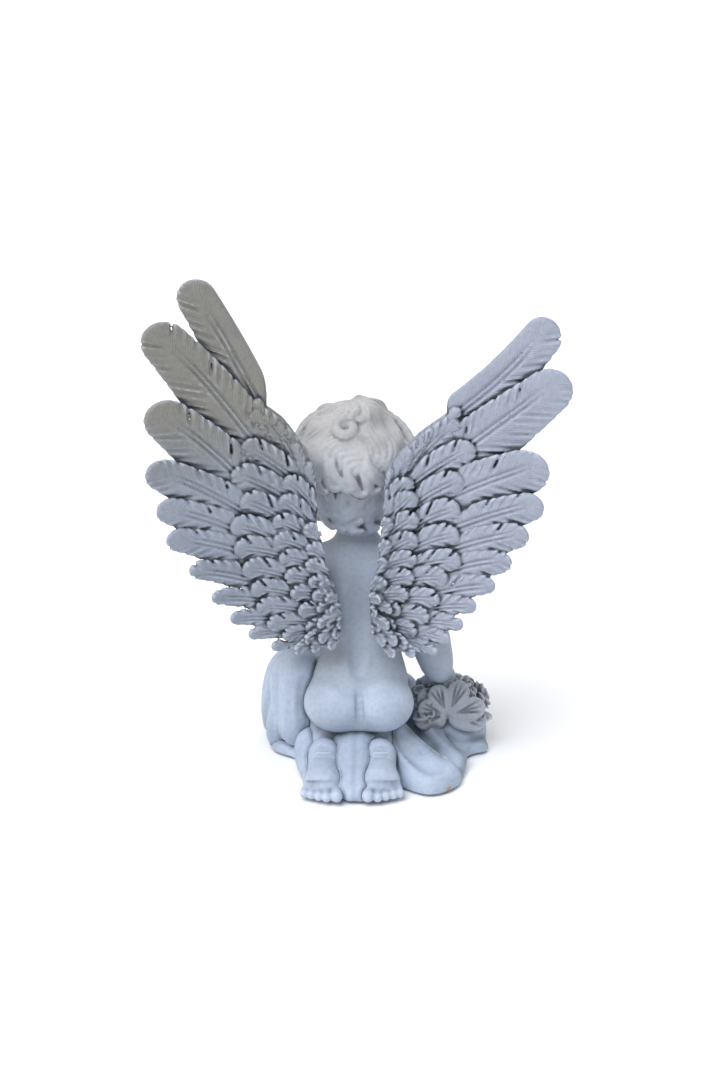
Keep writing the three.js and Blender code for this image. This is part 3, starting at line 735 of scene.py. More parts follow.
hair.add(ball(on_head(*HAIR_CENTRE), HAIR_RADII, head_turn))
hair.carve(ball(on_head(0, -22, -23), (26, 13.5, 14.5), head_turn), 2)
hair.add(ball(on_head(0, -5.5, -12), (18.6, 12.4, 15), head_turn), 1.5)
hair.add(ball(on_head(0, -5, -19), (13, 10, 11), head_turn), 3)
hair.add(ball(on_head(-2.6, -3, 18.0), (9, 10, 6.2), head_turn), 7)
hair.swell(combed, hair.low, hair.high() + hair.step)
HOLLOWS = (((2.7, 20, 142), (7, 4.5, 3.4)), ((-7.5, 13.5, 150), (6, 4.5, 3)),
           ((-3.5, 18.8, 111.7), (3.4, 3.6, 3.0)), ((11.5, 19.5, 119), (3.6, 3.6, 4.4)),
           ((-0.5, 24, 126), (9.0, 3.4, 2.6)))
for place, radii in HOLLOWS:
    hair.carve(ball(place, radii), 6)
hair.carve(ball(on_head(0, 26, -13.5), (28.5, 25, 21), head_turn), 1.5)
HEM_LOCKS, NAPE_LOCKS, FRINGE_LOCKS = 17, 13, 12
for i in range(HEM_LOCKS):
    place = 76 + i * 208 / (HEM_LOCKS - 1)
    bow = 9 * math.sin(i * 2.3 + 0.5)
    fall = 92 + 4 * math.sin(i * 1.7)
    lock([scalp(place - 9, fall - 27, -0.9), scalp(place - 6 + 0.5 * bow, fall - 17, 0.2),
          scalp(place - 2 + 0.5 * bow, fall - 8, 0.5), scalp(place + 3, fall + 1, 0.4),
          scalp(place + 8, fall + 6, 0.9), scalp(place + 13, fall + 3, 2.0)], [0.5, 1.6, 2.3, 2.2, 1.6, 0.9])
for i in range(NAPE_LOCKS):
    place = math.radians(88 + i * 184 / (NAPE_LOCKS - 1))
    back = max(0.0, -math.cos(place))
    bend = 0.16 * math.sin(i * 2.9 + 1)
    points = []
    for t, up, reach, turn in ((0, -6, 20.0, 0), (0.3, -11, 19.2, bend), (0.55, -16.5, 17.6 - back, -bend),
                               (0.8, -21 - 3 * back, 15.8 - 2 * back, bend),
                               (0.95, -23 - 5 * back, 15.4 - 2 * back, bend + 0.15),
                               (1, -22.4 - 5.4 * back, 16.8 - 2 * back, bend + 0.3)):
        points.append((reach * math.sin(place + turn), reach * math.cos(place + turn) * 0.95 - 0.5, up))
    lock(points, [0.8, 2.0, 2.3, 2.0, 1.5, 0.8])
for i in range(FRINGE_LOCKS):
    place = -84 + i * 168 / (FRINGE_LOCKS - 1)
    swept = 15 if place > 28 else -15
    wave = 5 * math.sin(i * 2.1)
    low = 80 + 6 * math.sin(i * 1.7) + abs(place) * 0.08
    lock([scalp(place * 0.7 - swept, low - 48, 0.1), scalp(place * 0.8 + wave, low - 32, 1.2),
          scalp(place * 0.95 + 0.4 * swept - wave, low - 14, 1.4), scalp(place + swept, low - 2, 0.9),
          scalp(place + 1.6 * swept, low, 1.2), scalp(place + 1.9 * swept, low - 8, 2.0)],
         [0.7, 1.8, 2.2, 1.9, 1.4, 0.8])
lock([(4.5, 8.5, 17.6), (8.8, 11, 18.4), (12.4, 12.3, 17.8), (14.2, 13.6, 15.0), (12.2, 15.6, 12.8)],
     [1.2, 2.2, 2.5, 2.0, 1.2])
ringlet(scalp(66, 56, 0.8), 4.2, 1.9, 1.2, 2.0)
ringlet(scalp(30, 60, 1.6), 3.6, 1.8, 1.1, 1.0)
ringlet(scalp(166, 30, 0.4), 4.8, 1.8, 1.2, 0.9)
ringlet(scalp(-150, 14, 0.8), 2.8, 1.4, 1.0, 4.0, 1.4)
ringlet((-4.2, -13.0, -24.5), 3.3, 1.6, 1.2, 1.4)
ringlet((8.2, -12.6, -22.5), 2.8, 1.5, 1.1, 3.4)
for side in (1, -1):
    for low, forward, size in ((-5.5, 5.5, 2.8), (-11.0, 3.2, 3.1), (-15.0, -2.2, 2.9), (0.5, 8.5, 2.6)):
        wide = 20.8 - 0.16 * abs(low)
        ringlet((side * (wide - forward * 0.16), forward, low), size, 1.6, 1.1, low + side)
head.field = soft_min(head.field, hair.field, 0.6)
head.trim(NECK_SEAM)


def bluer_neck(material, place, colour):
    """The neck takes the figure's bluer paint, which fades out towards the crown into the head's warmer grey,
    a painted warm light reflected on the crown.
    """
    height = node(material, "SeparateXYZ", Vector=place).outputs["Z"]
    return mixed(material, ranged(material, height, 0.104, 0.15, 1.0, 0.0), colour, linear("#9DA7B4"))


# The head's warmer grey, left where the neck's blue fades out, is painted warm light reflected on the crown.
head_paint = painted_resin("painted polyresin, head", "#B4B3B1", "#A6A6A4", "#D2D2D1", "#5C5956", 0.75,
                           bluer_neck)
fit(cast(head, "head_resin"), "head_casting", head_paint)

# ------------------------------------------------------------------ wings
# Two raised wings, one casting each: flight feathers fanned from the leading edge, covert rows over their
# roots on both faces, and a knot of small curled feathers at the bond to the back. Every feather is a clay
# plate with a shaft line pressed in and slanting strokes cut with a knife.
WING_STEP = 0.5
WING_ROOT = (11.0, 20.0)
WING_SLOPE = 0.26
WING_FLAT = math.hypot(1, WING_SLOPE)
FEATHER_THICKNESS = 2.8
FINEST_STROKES, COARSEST_STROKES = 2.7, 4.4
STROKE_SLANT = 1.15
ROW_LIFT = 1.9
FLIGHT_LEAN, COVERT_LEAN = 0.16, 0.21
COVERT_FULLNESS = 1.18
BONE_COVER = 13.0
EDGE_SPARE = 1.6
BONE_HEIGHTS = (78, 100, 122, 142)

# A feather is: tip out, tip up, root out, root up, width, in mm from the figure's middle and from the floor.
LEFT_ROWS = (
    ((63, 210, 36, 152, 17), (77, 194, 38, 138, 25), (78, 163, 40, 121, 25), (80, 139, 42, 113, 20),
     (77, 123, 42, 105, 17), (74, 110, 40, 97, 15.5), (66, 96, 38, 88, 13), (58, 83, 33, 79, 11.5),
     (51, 73, 29, 71, 10.5), (44, 65, 23, 66, 9.5), (35, 58.5, 18, 61, 8.5)),
    ((41, 159, 22, 139, 9), (45, 146, 24, 130, 10), (49, 135, 28, 123, 11), (46, 124, 30, 115, 10),
     (50, 114, 32, 106, 10), (49, 104, 29, 99, 10), (46, 95, 28, 90, 9.5), (43, 86, 25, 82, 8.5),
     (41, 78, 22, 75, 8), (37, 70, 18, 69, 7.5), (31, 64, 14, 66, 7)),
    ((29, 132, 18, 119, 8), (31, 124, 20, 113, 8.5), (34, 115, 20, 107, 8.5), (34, 107, 20, 101, 8.5),
     (32, 99, 18, 95, 8), (30, 91, 17, 88, 8), (28, 83, 15, 82, 7.5), (25, 75, 12, 75, 7.5),
     (22, 67, 10, 69, 7)),
    ((22, 112.6, 14, 104, 7), (21.4, 104, 12.5, 97, 7), (22, 96.6, 12, 91, 7), (21, 89, 11, 85, 7),
     (19.6, 82.7, 10, 80, 7), (15.7, 72.7, 8, 73, 6.5)),
)
LEFT_EDGE = ((8.6, 59.6), (8.5, 77), (11, 84), (14, 93), (17, 110), (17.6, 133), (20, 141), (30, 155),
             (36, 160))
LEFT_NARROW = ((40, 163.5, 22, 136, 6), (32, 155, 17.5, 125, 6), (25, 146, 16.5, 115, 5.5),
               (20, 138, 15.5, 104, 5))
LEFT_ROOT_KNOT = (
    (17, 88, 9.5, 85, 6), (15, 81, 7.5, 81, 6), (18, 76, 10, 78, 6), (13, 75, 7, 77, 5.5),
    (18, 69, 10, 73, 6), (14, 68, 8, 73, 5.5), (11, 63, 7, 70, 5.5), (17, 62, 11, 68, 6),
    (23, 62, 15, 66.5, 6), (9, 67, 6, 74, 5), (13, 58.5, 9, 65, 5.5), (20, 58, 14, 63, 6),
    (27, 58, 19, 63, 6))
RIGHT_ROWS = (
    ((73.5, 195.5, 34, 151, 17.5), (79, 175, 36, 135, 25), (73, 140, 38, 121, 25), (72, 124, 40, 109, 18),
     (67, 111, 39, 100, 16.5), (61, 99, 37, 91, 15), (55, 88, 33, 83, 13), (48, 78, 29, 76, 11.5),
     (43, 69, 25, 70, 10.5), (38, 62, 21, 65, 9.5), (33, 56, 17, 61, 8.5)),
    ((40, 155, 21, 136, 9), (46, 145, 24, 130, 10.5), (42, 132, 25, 122, 10), (41, 120, 24, 112, 10),
     (41, 109, 24, 103, 10), (42, 98, 24, 94, 9.5), (37, 90, 21, 88, 9), (34, 80, 18, 80, 8.5),
     (30, 72, 15, 73, 8), (25, 65, 12, 68, 7.5)),
    ((22, 131, 13, 118, 8), (24, 125, 13, 113, 8.5), (25, 116, 13, 107, 8.5), (25, 107, 13, 100, 8.5),
     (25, 98, 12, 94, 8), (24, 90, 11, 87, 8), (22, 82, 10, 81, 7.5), (19, 75, 8, 75, 7.5),
     (17, 67, 8, 69, 7)),
    ((14.6, 115, 9, 106, 6.5), (14.3, 105.6, 8.5, 98, 6.5), (13, 98, 7.5, 91, 6.5),
     (12.5, 89.6, 6.5, 84, 6.5),
     (12, 81.6, 6, 78, 6), (11.3, 72, 5.5, 71, 6)),
)
RIGHT_EDGE = ((12, 58), (8, 66), (7, 83.5), (10.4, 94), (12, 114), (12.5, 132), (17.5, 140), (26, 149),
              (36, 157))
RIGHT_NARROW = ((40, 160, 20, 134, 6), (30, 152, 14, 124, 6), (22, 143, 11, 113, 5.5), (14, 134, 10, 102, 5))
RIGHT_ROOT_KNOT = (
    (14, 88, 7, 86, 5.5), (12, 80, 5.5, 80, 6), (16, 75, 8, 78, 6), (10, 73, 5, 76, 5.5),
    (15, 68, 8, 72, 6), (11, 66, 6, 72, 5.5), (13, 60, 8, 67, 5.5), (18, 61, 11, 67, 6),
    (22, 59.5, 15, 65, 6), (8, 64, 4.5, 70, 5), (17, 55.5, 12, 61, 5.5), (25, 56, 18, 61.5, 6))


def feather(size, height, lean, seed, thick=FEATHER_THICKNESS, curl=0.0, tip_share=0.9,
            bow=0.0, leading=False):
    """One feather as a puffed plate in the wing's own plane. With u from root to tip and v across it towards
    the leading edge, the plate lies at height + lean v + curl t^2 and is thick (0.4 + 0.6 sqrt(1 - a^2))
    deep, where t is the part of the length and a of the half width. It is cut by a line on each side of the
    shaft and by slanting strokes drawn from the rim inwards, where u - STROKE_SLANT |v| is constant."""
    tip = np.array((size[0], size[1])) - (WING_ROOT[0], 0)
    root = np.array((size[2], size[3])) - (WING_ROOT[0], 0)
    tip[0], root[0] = tip[0] * WING_FLAT, root[0] * WING_FLAT
    span = float(np.hypot(*(tip - root)))
    du, dv = (tip - root) / span
    half = size[4] * 0.56
    pitch = min(max(FINEST_STROKES, half * 0.7), COARSEST_STROKES)
    shaft = -0.1 * half if half < 8 else 0.2 * half
    blade = min(0.4 + 0.03 * half, 0.6)
    ditch = min(max(0.25, 0.13 * half), 1.0)
    cut = 0.85 if half > 4 else 0.6
    scallop = 0.3 if half > 6 else 0.1
    reach = half + 1.5

    def place(x, z):
        """Along and across the feather, and how far along as a part of the whole."""
        u = (x - root[0]) * du + (z - root[1]) * dv
        v = (z - root[1]) * du - (x - root[0]) * dv
        return u, v, np.clip(u / span, 0, 1)

    def distance(x, y, z):
        """The larger of the distances to the outline and to the plate's faces, with the rim rounded over."""
        u, v, t = place(x, z)
        v = v - (0.1 * half + bow) * np.sin(t * math.pi)
        broad = half * (1 - (1 - tip_share) * t ** 1.3)
        broad = broad if leading else broad * (0.6 + 0.4 * np.sin(np.minimum(t * 2.6, 1) * math.pi / 2))
        outline = np.hypot(u - np.clip(u, 0, span - half * tip_share), v) - broad
        part = np.clip(np.abs(v) / broad, 0, 1)
        aside = v - shaft * (1 - 0.6 * t)
        lean_in = np.abs(aside)
        line = (u - STROKE_SLANT * lean_in) / pitch + 0.37 * seed + np.where(aside > 0, 0.0, 0.45)
        count = np.floor(line)
        wobble = np.sin(count * 2.4 + seed * 1.7)
        off = (line - count - 0.5 - 0.15 * wobble) * pitch * 0.66
        begin = half * (0.22 + 0.13 * np.sin(count * 5.1 + seed))
        depth = np.clip((lean_in - begin) / (half * 0.2), 0, 1) * np.clip((t - 0.05) * 8, 0, 1)
        depth = depth * np.clip((1.04 - t) * 9, 0, 1) * (0.85 + 0.35 * wobble) * np.where(aside > 0, 1.0, 0.8)
        depth = np.where(aside > 0, 0.0, depth) if leading else depth
        knife = np.exp(-(off / np.where(off > 0, blade * 1.7, blade)) ** 2) * depth
        knife = knife * (0.25 + 0.75 * np.clip((1 - part) * 3.5, 0, 1))
        fade = np.clip((0.86 - t) * 5, 0, 1)
        beside = np.exp(-((lean_in - ditch) / 0.55) ** 2) * fade
        puff = thick / 2 * (0.4 + 0.6 * np.sqrt(1 - part ** 2))
        swell = puff * (1 - np.maximum(cut * knife, 0.75 * beside))
        level = height + lean * v + curl * t * t
        plate = np.abs(y - level) - swell
        rim = outline + scallop * knife + 0.3
        return -soft_min(-rim, -plate, 1.8)

    low = np.minimum(root, tip) - reach
    high = np.maximum(root, tip) + reach
    rise = abs(lean) * half + thick / 2 + 1
    lift = sorted((height, height + curl))
    shape = distance, np.array((low[0], lift[0] - rise, low[1])), np.array((high[0], lift[1] + rise, high[1]))
    return shape, place


def wing_feathers(rows, narrow, knot, bow):
    """All feathers of a wing, the flight row first, with the covert rows repeated on the front face. Bow is
    how far the longest feather sags between its ends; each next one sags half as far."""
    made = []
    for row, sizes in enumerate(rows):
        for i, size in enumerate(sizes):
            if row == 0:
                share = 0.8 if i == 0 else 0.6
                made.append(feather(size, 0, FLIGHT_LEAN, i * 1.3, tip_share=share, bow=-bow * 0.5 ** i,
                                    leading=i == 0))
                continue
            size = size[:4] + (size[4] * COVERT_FULLNESS,)
            made.append(feather(size, row * ROW_LIFT, COVERT_LEAN, i * 1.3 + row * 4.1))
            if row < 3:
                made.append(feather(size, -row * ROW_LIFT, COVERT_LEAN, i * 1.9 + row))
    for i, size in enumerate(narrow):
        made.append(feather(size, 1.6 + 0.5 * i, 0.12, i * 2.3, curl=0.4))
        made.append(feather(size, -1.6 - 0.5 * i, 0.12, i * 2.9, curl=-0.4))
    for i, size in enumerate(knot):
        made.append(feather(size, 5.4 + 0.5 * math.sin(i * 2.1), 0.25, i * 1.1, 3.2, 1.6))
    return made


def wing(name, side, rows, edge, narrow, knot, bow):
    """A wing modelled flat for the figure's left, turned back along its plane, and mirrored for the right."""
    clay = Clay((-9, -9, 50), (76, 13, 215), WING_STEP)
    edge = [((a - WING_ROOT[0]) * WING_FLAT, b) for a, b in edge]
    thick = np.interp(np.arange(len(edge)), (0, 2, len(edge) - 1), (3.4, 4.4, 2.2))
    for i in range(len(edge) - 1):
        (a, b), (c, d) = edge[i], edge[i + 1]
        clay.add(limb((a + 2.5, 0.3, b), (c + 2.5, 0.3, d), thick[i], thick[i + 1]), 2)
    clay.add(ball((0.8, -3.0, 75), (6.4, 7.6, 17)), 2)
    outs, ups = zip(*edge)
    for up in BONE_HEIGHTS:
        clay.add(ball((np.interp(up, ups, outs) + BONE_COVER, 0, up), (BONE_COVER - 1, 1.5, 19)), 1)
    feathers = wing_feathers(rows, narrow, knot, bow)
    for shape, _ in feathers:
        clay.add(shape, 0.5, 3)
    inner = np.interp(clay.axes[2], ups, outs) - EDGE_SPARE
    past_edge = clay.axes[0][:, None, None] - inner[None, None, :].astype(np.float32)
    clay.field = -soft_min(-clay.field, past_edge, 2.5)

    def marks(points):
        """For each point, along and across the feather that it lies on."""
        best = np.full(len(points), 9.0)
        along, across = np.zeros(len(points)), np.zeros(len(points))
        for shape, place in feathers:
            close = np.flatnonzero(((points > shape[1] - 1) & (points < shape[2] + 1)).all(1))
            x, y, z = points[close].T
            far = np.abs(shape[0](x, y, z))
            nearer = far < best[close]
            u, v, _ = place(x, z)
            best[close[nearer]] = far[nearer]
            along[close[nearer]], across[close[nearer]] = u[nearer], v[nearer]
        return {"along": along, "across": across}

    def bend(points):
        """Turns the flat wing back along its plane and cups it a little towards the tip."""
        out, lift = points[:, 0] / WING_FLAT, points[:, 1] / WING_FLAT
        cup = 2.2 * np.sin(np.clip(points[:, 0] / 70, 0, 1) * math.pi)
        cup = cup - 1.5 * np.clip((points[:, 2] - 150) / 60, 0, 1)
        x = WING_ROOT[0] + out - lift * WING_SLOPE
        y = WING_ROOT[1] + out * WING_SLOPE + lift - cup
        return np.stack([side * x, y, points[:, 2]], 1)

    return cast(clay, name, bend, side < 0, (body,), marks)


def wing_tint_and_warm_light(material, place, colour):
    """Painted warm light: the upper left wing is browner where a warm light falls on it; the right wing is a
    touch more violet.
    """
    out, _, up = node(material, "SeparateXYZ", Vector=place).outputs
    colour = mixed(material, ranged(material, out, -0.01, -0.03, 0.0, 0.6), colour, linear("#A9AFBE"))
    warm = maths(material, "MULTIPLY", ranged(material, up, 0.118, 0.165), ranged(material, out, 0.005, 0.02))
    return mixed(material, warm, colour, linear("#87867E"))


wing_paint = painted_resin("painted polyresin, wings", "#98A0AC", "#8B939F", "#CBD5E2", "#3E4248", 0.95,
                           wing_tint_and_warm_light, True)
fit(wing("left_wing_resin", 1, LEFT_ROWS, LEFT_EDGE, LEFT_NARROW, LEFT_ROOT_KNOT, 0.0),
    "left_wing_casting", wing_paint)
fit(wing("right_wing_resin", -1, RIGHT_ROWS, RIGHT_EDGE, RIGHT_NARROW, RIGHT_ROOT_KNOT, 3.5),
    "right_wing_casting", wing_paint)

# ------------------------------------------------------------------ ground cloth
# The cloth the figure kneels on, one casting bonded under the figure and the lap cloth: a heap under the legs
# that runs out into rounded lobes on the figure's right, with folds falling between the feet and a low hem.
CLOTH_HEM = ((22, 36), (24, 14), (36, 3), (39, -14), (34, -32), (18, -44), (-4, -46), (-26, -42), (-44, -28),
             (-54, -8), (-56, 3), (-48, 8), (-43, 17), (-44, 28), (-37, 38), (-28, 42), (-19, 36), (-12, 38),
             (2, 47), (13, 40))
CLOTH_MIDDLE = np.array((-4, -2))
HEM_HEIGHT = 3.4

ground = Clay((-62, -53, -2), (46, 54, 30), FIGURE_STEP)


def heap(x, y, z):
    """The heap and its hem: under a bell-shaped height, and inside the hem line, both with rounded edges."""
    line = curve(CLOTH_HEM + CLOTH_HEM[:1], 160) - CLOTH_MIDDLE
    turn, reach = np.arctan2(line[:, 1], line[:, 0]), np.hypot(line[:, 0], line[:, 1])
    order = np.argsort(turn)
    px, py = x - CLOTH_MIDDLE[0], y - CLOTH_MIDDLE[1]
    far = np.hypot(px, py)
    round_at = np.arctan2(py, px)
    hem = np.interp(round_at, turn[order], reach[order], period=2 * math.pi).astype(np.float32)
    height = HEM_HEIGHT + RESIN_BOTTOM + 13 * np.exp(-((x + 2) / 20) ** 2 - ((y - 2) / 25) ** 2)
    height = height + 1.3 * np.sin(round_at * 9 + 1.4 * np.sin(round_at * 3)) * np.clip((far - 16) / 20, 0, 1)
    return -soft_min(-0.8 * (z - height), -0.85 * (far - hem), 3.2)


ground.add((heap, np.array((-61, -52, -1)), np.array((45, 53, 29))))
ROLLS = (
    (((-18, 15, 15), (-27, 18, 13), (-34, 24, 9.5), (-38, 31, 5)), (4.4, 4.4, 4.2, 3.2)),
    (((-19, 14, 13), (-23, 27, 9.5), (-26, 35, 5)), (4.0, 4.0, 3.4)),
    (((-30, -5, 13.5), (-36, 7, 12.5), (-40, 16, 9), (-41, 23, 4.5)), (4.6, 4.6, 4.2, 3.2)),
    (((-34, -7, 11), (-44, -6, 9.5), (-49, -7, 6)), (5.5, 6.2, 5)),
    (((-24, -14, 11), (-37, -20, 8), (-45, -25, 4.5)), (4.5, 4.5, 3)),
    (((-14, -30, 10), (-26, -36, 7.5), (-31, -40, 4)), (4, 4, 3)),
    (((24, -20, 9), (32, -24, 6), (35, -29, 4)), (4, 4, 2.6)),
    (((19.5, 10, 12), (20.5, 20, 9), (19, 28, 5)), (3.6, 3.4, 2.6)),
)
for line, radii in ROLLS:
    roll(ground, line, radii, 4.5, 12)
ground.add(ball((-29.5, 30, 3), (11.5, 11.5, 7.5)), 4)
VALLEYS = (((-22, 2, 20), (-30, 9, 18.5), (-37, 17, 15.5), (-43, 25, 10.5)),
           ((-36, -3, 20), (-42, 4, 17), (-48, 11, 11.5)),
           ((-20.5, 20, 18.5), (-25.5, 26, 16), (-30, 34, 12.5)))
for line, radius in zip(VALLEYS, (4.6, 4.2, 2.6)):
    groove(ground, line, radius, 8)
BETWEEN_FEET = (((6.4, 22, 15), (6.0, 34, 10.4), (5.8, 44.5, 4.2)),
                ((2.6, 22, 17), (2.6, 34, 11.6), (2.6, 46.5, 3.8)),
                ((-1.6, 22, 16.6), (-1.4, 34, 11), (-1.2, 46.4, 3.6)),
                ((-5.0, 22, 15), (-4.6, 34, 9.8), (-4.4, 43, 4)))
for line in BETWEEN_FEET:
    roll(ground, line, (3.6, 3.5, 3.0), 1.3, 10)
ground.trim(RESIN_BOTTOM)
ground.clear(body, BOND_LINE)

# ------------------------------------------------------------------ lap cloth
# A cloth cast on its own and bonded over the thighs: pulled across the lap in fanned folds, hanging before
# the knees and falling in a loose pleated panel at the figure's left hip. Both cloths are cast here, once the
# lower one has been cut clear of this one, and are painted alike.
lap = Clay((-38, -54, -2), (46, 20, 56), FIGURE_STEP)
lap.add(ball((7, -17, 24), (22.5, 21, 10.5)))
lap.add(ball((2.5, -35, 12.5), (25, 9, 13.5)), 6)
LAP_FOLDS = (
    (((28, -2, 42), (14, -6, 36.4), (-4, -6, 34), (-14, -5, 30)), (2.6, 3.0, 2.8, 2.0)),
    (((28, -6, 40), (14, -13, 36.8), (-4, -15, 34), (-16, -12, 27.5)), (2.6, 3.0, 2.8, 2.0)),
    (((28, -9, 38), (16, -21, 35.6), (-2, -25, 31.5), (-17, -21, 22)), (2.6, 3.0, 2.8, 2.0)),
    (((29, -12, 36), (20, -28, 33), (4, -35, 29), (-13, -36, 22.5), (-22, -34, 13)),
     (2.6, 3.0, 3.0, 2.6, 2.0)),
    (((31, -14, 33), (26, -31, 29), (14, -40, 25), (2, -42, 20)), (2.6, 3.0, 2.8, 2.0)),
)
for line, radii in LAP_FOLDS:
    roll(lap, line, radii, 4.5, 16)
for i in range(9):
    x = -24 + i * 6.2
    start = 25 - 0.012 * (x - 2) ** 2 + 3 * math.sin(i * 2.1)
    deep = 40.5 - 0.006 * (x - 1) ** 2
    roll(lap, [(x * 0.94, -deep + 2, start), (x + math.sin(i * 1.9), -deep - 1.8, start * 0.55),
               (x * 1.05 + math.sin(i * 2.7), -deep - 2.8, 3.6)], [1.4, 2.8, 3.2], 3.6, 10)
HANGING = (((26, -1, 43.5), (28.8, -1, 36), (28.4, -1, 24), (33.4, -2, 7)),
           ((22.5, 5, 43), (24, 5, 36), (24.5, 5.5, 24), (26, 5, 11)),
           ((30, -9, 37), (32, -11, 24), (33.5, -12, 8)), ((29, -18, 31), (31, -21, 18), (32, -22, 7)))
for line, radii in zip(HANGING, ((3.4, 5.4, 5.0, 4.8), (3.4, 4.8, 4.6, 4.2), (4, 5.6, 5), (4, 5, 4.6))):
    roll(lap, line, radii, 6, 14)


def pleats(x, y, z):
    """Soft upright folds of the hanging panel, running closer together towards the top."""
    across = (x * 0.35 - y) * (1 + 0.006 * (z - 20))
    wave = 0.5 * np.sin(across * 0.62 + 0.8) + 0.25 * np.sin(across * 1.3 + z * 0.08)
    return wave * np.clip((44 - z) / 8, 0, 1)


lap.swell(pleats, (21, -30, 0), (46, 20, 44))
lap.trim(RESIN_BOTTOM)
for neighbour in (body, left_arm, right_arm):
    lap.clear(neighbour, BOND_LINE)
ground.clear(lap, BOND_LINE)

CHIP_PLACE = (-36.5, 38.5, 2.2)


def bare_chip(material, place, colour):
    """A chip in the ground cloth's paint, on the hem at the figure's right, that bares yellowish resin."""
    away = [-c * MM for c in CHIP_PLACE]
    shifted = node(material, "Mapping", {"vector_type": "POINT"}, Vector=place, Location=away)
    far = node(material, "VectorMath", {"operation": "LENGTH"}, _0=shifted.outputs[0]).outputs["Value"]
    ragged = maths(material, "ADD", far, maths(material, "MULTIPLY", noise(material, place, 1.8, 3), 0.0022))
    return mixed(material, ranged(material, ragged, 0.0024, 0.0030, 0.85, 0.0), colour, linear("#A08A5C"))


cloth_paint = painted_resin("painted polyresin, cloth", "#B0BDCE", "#A0ADBD", "#D0DAE8", "#626B76", 0.7,
                            bare_chip)
fit(cast(ground, "ground_cloth_resin", others=(body, lap)), "ground_cloth_casting",
    cloth_paint)
fit(cast(lap, "lap_cloth_resin", others=(body, left_arm)), "lap_cloth_casting",
    cloth_paint)

# ------------------------------------------------------------------ bouquet
# A bunch of flowers under the right hand, one casting bonded to the cloth: one great flower of fanned petals
# behind, eight blossoms, each a button ringed by two tiers of petals, and three leaves beneath.
bouquet = Clay((-62, -28, 5), (-18, 10, 38), 0.4)
BOUQUET_MIDDLE = np.array((-41.5, -8.5, 18.5))


def facing(way):
    """Three axes for a shape whose third axis looks the given way."""
    way = np.array(way, float) / np.linalg.norm(way)
    first = np.cross((0.2, 0.1, 1.0) if abs(way[2]) < 0.9 else (1.0, 0, 0), way)
    first /= np.linalg.norm(first)
    return np.stack([first, np.cross(way, first), way], 1)


def blossom(place, way, size, petals, seed):
    """A button ringed by petals: the outer tier open, the inner one half closed."""
    axes = facing(way)
    place = np.array(place, float)
    bouquet.add(ball(place, size * 0.5), 1)
    tiers = ((petals, 0.62, 62, 0.56), (petals - 1, 0.36, 34, 0.42))
    for tier, (count, reach, lean, long) in enumerate(tiers):
        for k in range(count):
            a = 2 * math.pi * (k + 0.5 * tier + 0.12 * math.sin(seed + 2.3 * k)) / count
            out = axes[:, 0] * math.cos(a) + axes[:, 1] * math.sin(a)
            b = math.radians(lean + 9 * math.sin(seed * 1.7 + k * 2.9))
            long_way = out * math.sin(b) + axes[:, 2] * math.cos(b)
            side_way = np.cross(axes[:, 2], out)
            turn = np.stack([long_way, side_way, np.cross(long_way, side_way)], 1)
            middle = place + long_way * size * reach + axes[:, 2] * size * 0.12 * tier
            bouquet.add(ball(middle, (size * long, size * 0.42, size * 0.15), turn), 0.35)
            bouquet.carve(limb(middle - long_way * size * 0.3 + turn[:, 2] * size * 0.2,
                               middle + long_way * size * 0.5 + turn[:, 2] * size * 0.2, 0.35, 0.25), 0.5)
    bouquet.add(ball(place + axes[:, 2] * size * 0.38, size * 0.24), 0.4)


def petal_fan(root, way, count, reach, wide):
    """A great half-open flower seen from its stem: broad petals fanned from a root, each creased along."""
    axes = facing(way)
    for k in range(count):
        a = math.radians(-8 + 196 * k / (count - 1))
        level = np.array((1, 0, 0)) - axes[:, 2] * axes[0, 2]
        upward = np.cross(level, axes[:, 2])
        upward = upward if upward[2] > 0 else -upward
        out = -level * math.cos(a) + upward * math.sin(a) + axes[:, 2] * (0.22 + 0.14 * (k % 2))
        out /= np.linalg.norm(out)
        side_way = np.cross(axes[:, 2], out)
        turn = np.stack([out, side_way, np.cross(out, side_way)], 1)
        long = reach * (1 - 0.16 * k / (count - 1) + 0.06 * math.sin(k * 2.4))
        middle = np.array(root) + out * long * 0.52
        bouquet.add(ball(middle, (long * 0.52, wide, 1.5), turn), 0.5)
        for lift, spread in ((1.7, 0.0), (1.6, 0.5), (1.6, -0.5)):
            end = middle + out * long * 0.42 + side_way * wide * spread
            bouquet.carve(limb(np.array(root) + out * long * 0.3 + turn[:, 2] * lift,
                               end + turn[:, 2] * (lift - 0.5), 0.35, 0.45), 0.5)


bouquet.add(ball(BOUQUET_MIDDLE, (10, 8.5, 6)))
petal_fan((-38.5, -0.5, 16.0), (0.0, 0.9, 0.42), 9, 16.5, 5.4)
BLOSSOMS = (((-44, -8.0, 23.0), (-0.4, 0.5, 0.7), 6.6), ((-28.5, -7.5, 23.5), (0.5, 0.6, 0.6), 5.6),
            ((-30.0, -2.0, 17), (0.5, 0.8, 0.3), 5.4), ((-43, -9.5, 26), (-0.1, 0.1, 1), 5.6),
            ((-52, -10.5, 20), (-1, -0.1, 0.4), 6.0), ((-47, -16.5, 20.5), (-0.4, -0.9, 0.4), 6.0),
            ((-37, -18.5, 18.5), (0.1, -1, 0.3), 6.0), ((-29.5, -13, 18), (0.9, -0.5, 0.4), 5.2))
for i, (place, way, size) in enumerate(BLOSSOMS):
    blossom(place, way, size, 6 if i % 2 else 7, i * 1.7)
LEAVES = (((-27.5, 0.5, 15.5), (0.5, 0.8, 0.2)), ((-53.5, -2, 15), (-0.7, 0.7, 0.1)),
          ((-42, -21.5, 14.5), (-0.1, -1, 0.1)))
for place, way in LEAVES:
    bouquet.add(ball(place, (3.4, 1.3, 5.2), facing(way)), 0.5)
bouquet.clear(ground, BOND_LINE)
bouquet.clear(right_arm, BOND_LINE)
flower_paint = painted_resin("painted polyresin, flowers", "#B0B6BE", "#A2A8B0", "#D2D9E2", "#56585D", 0.75)
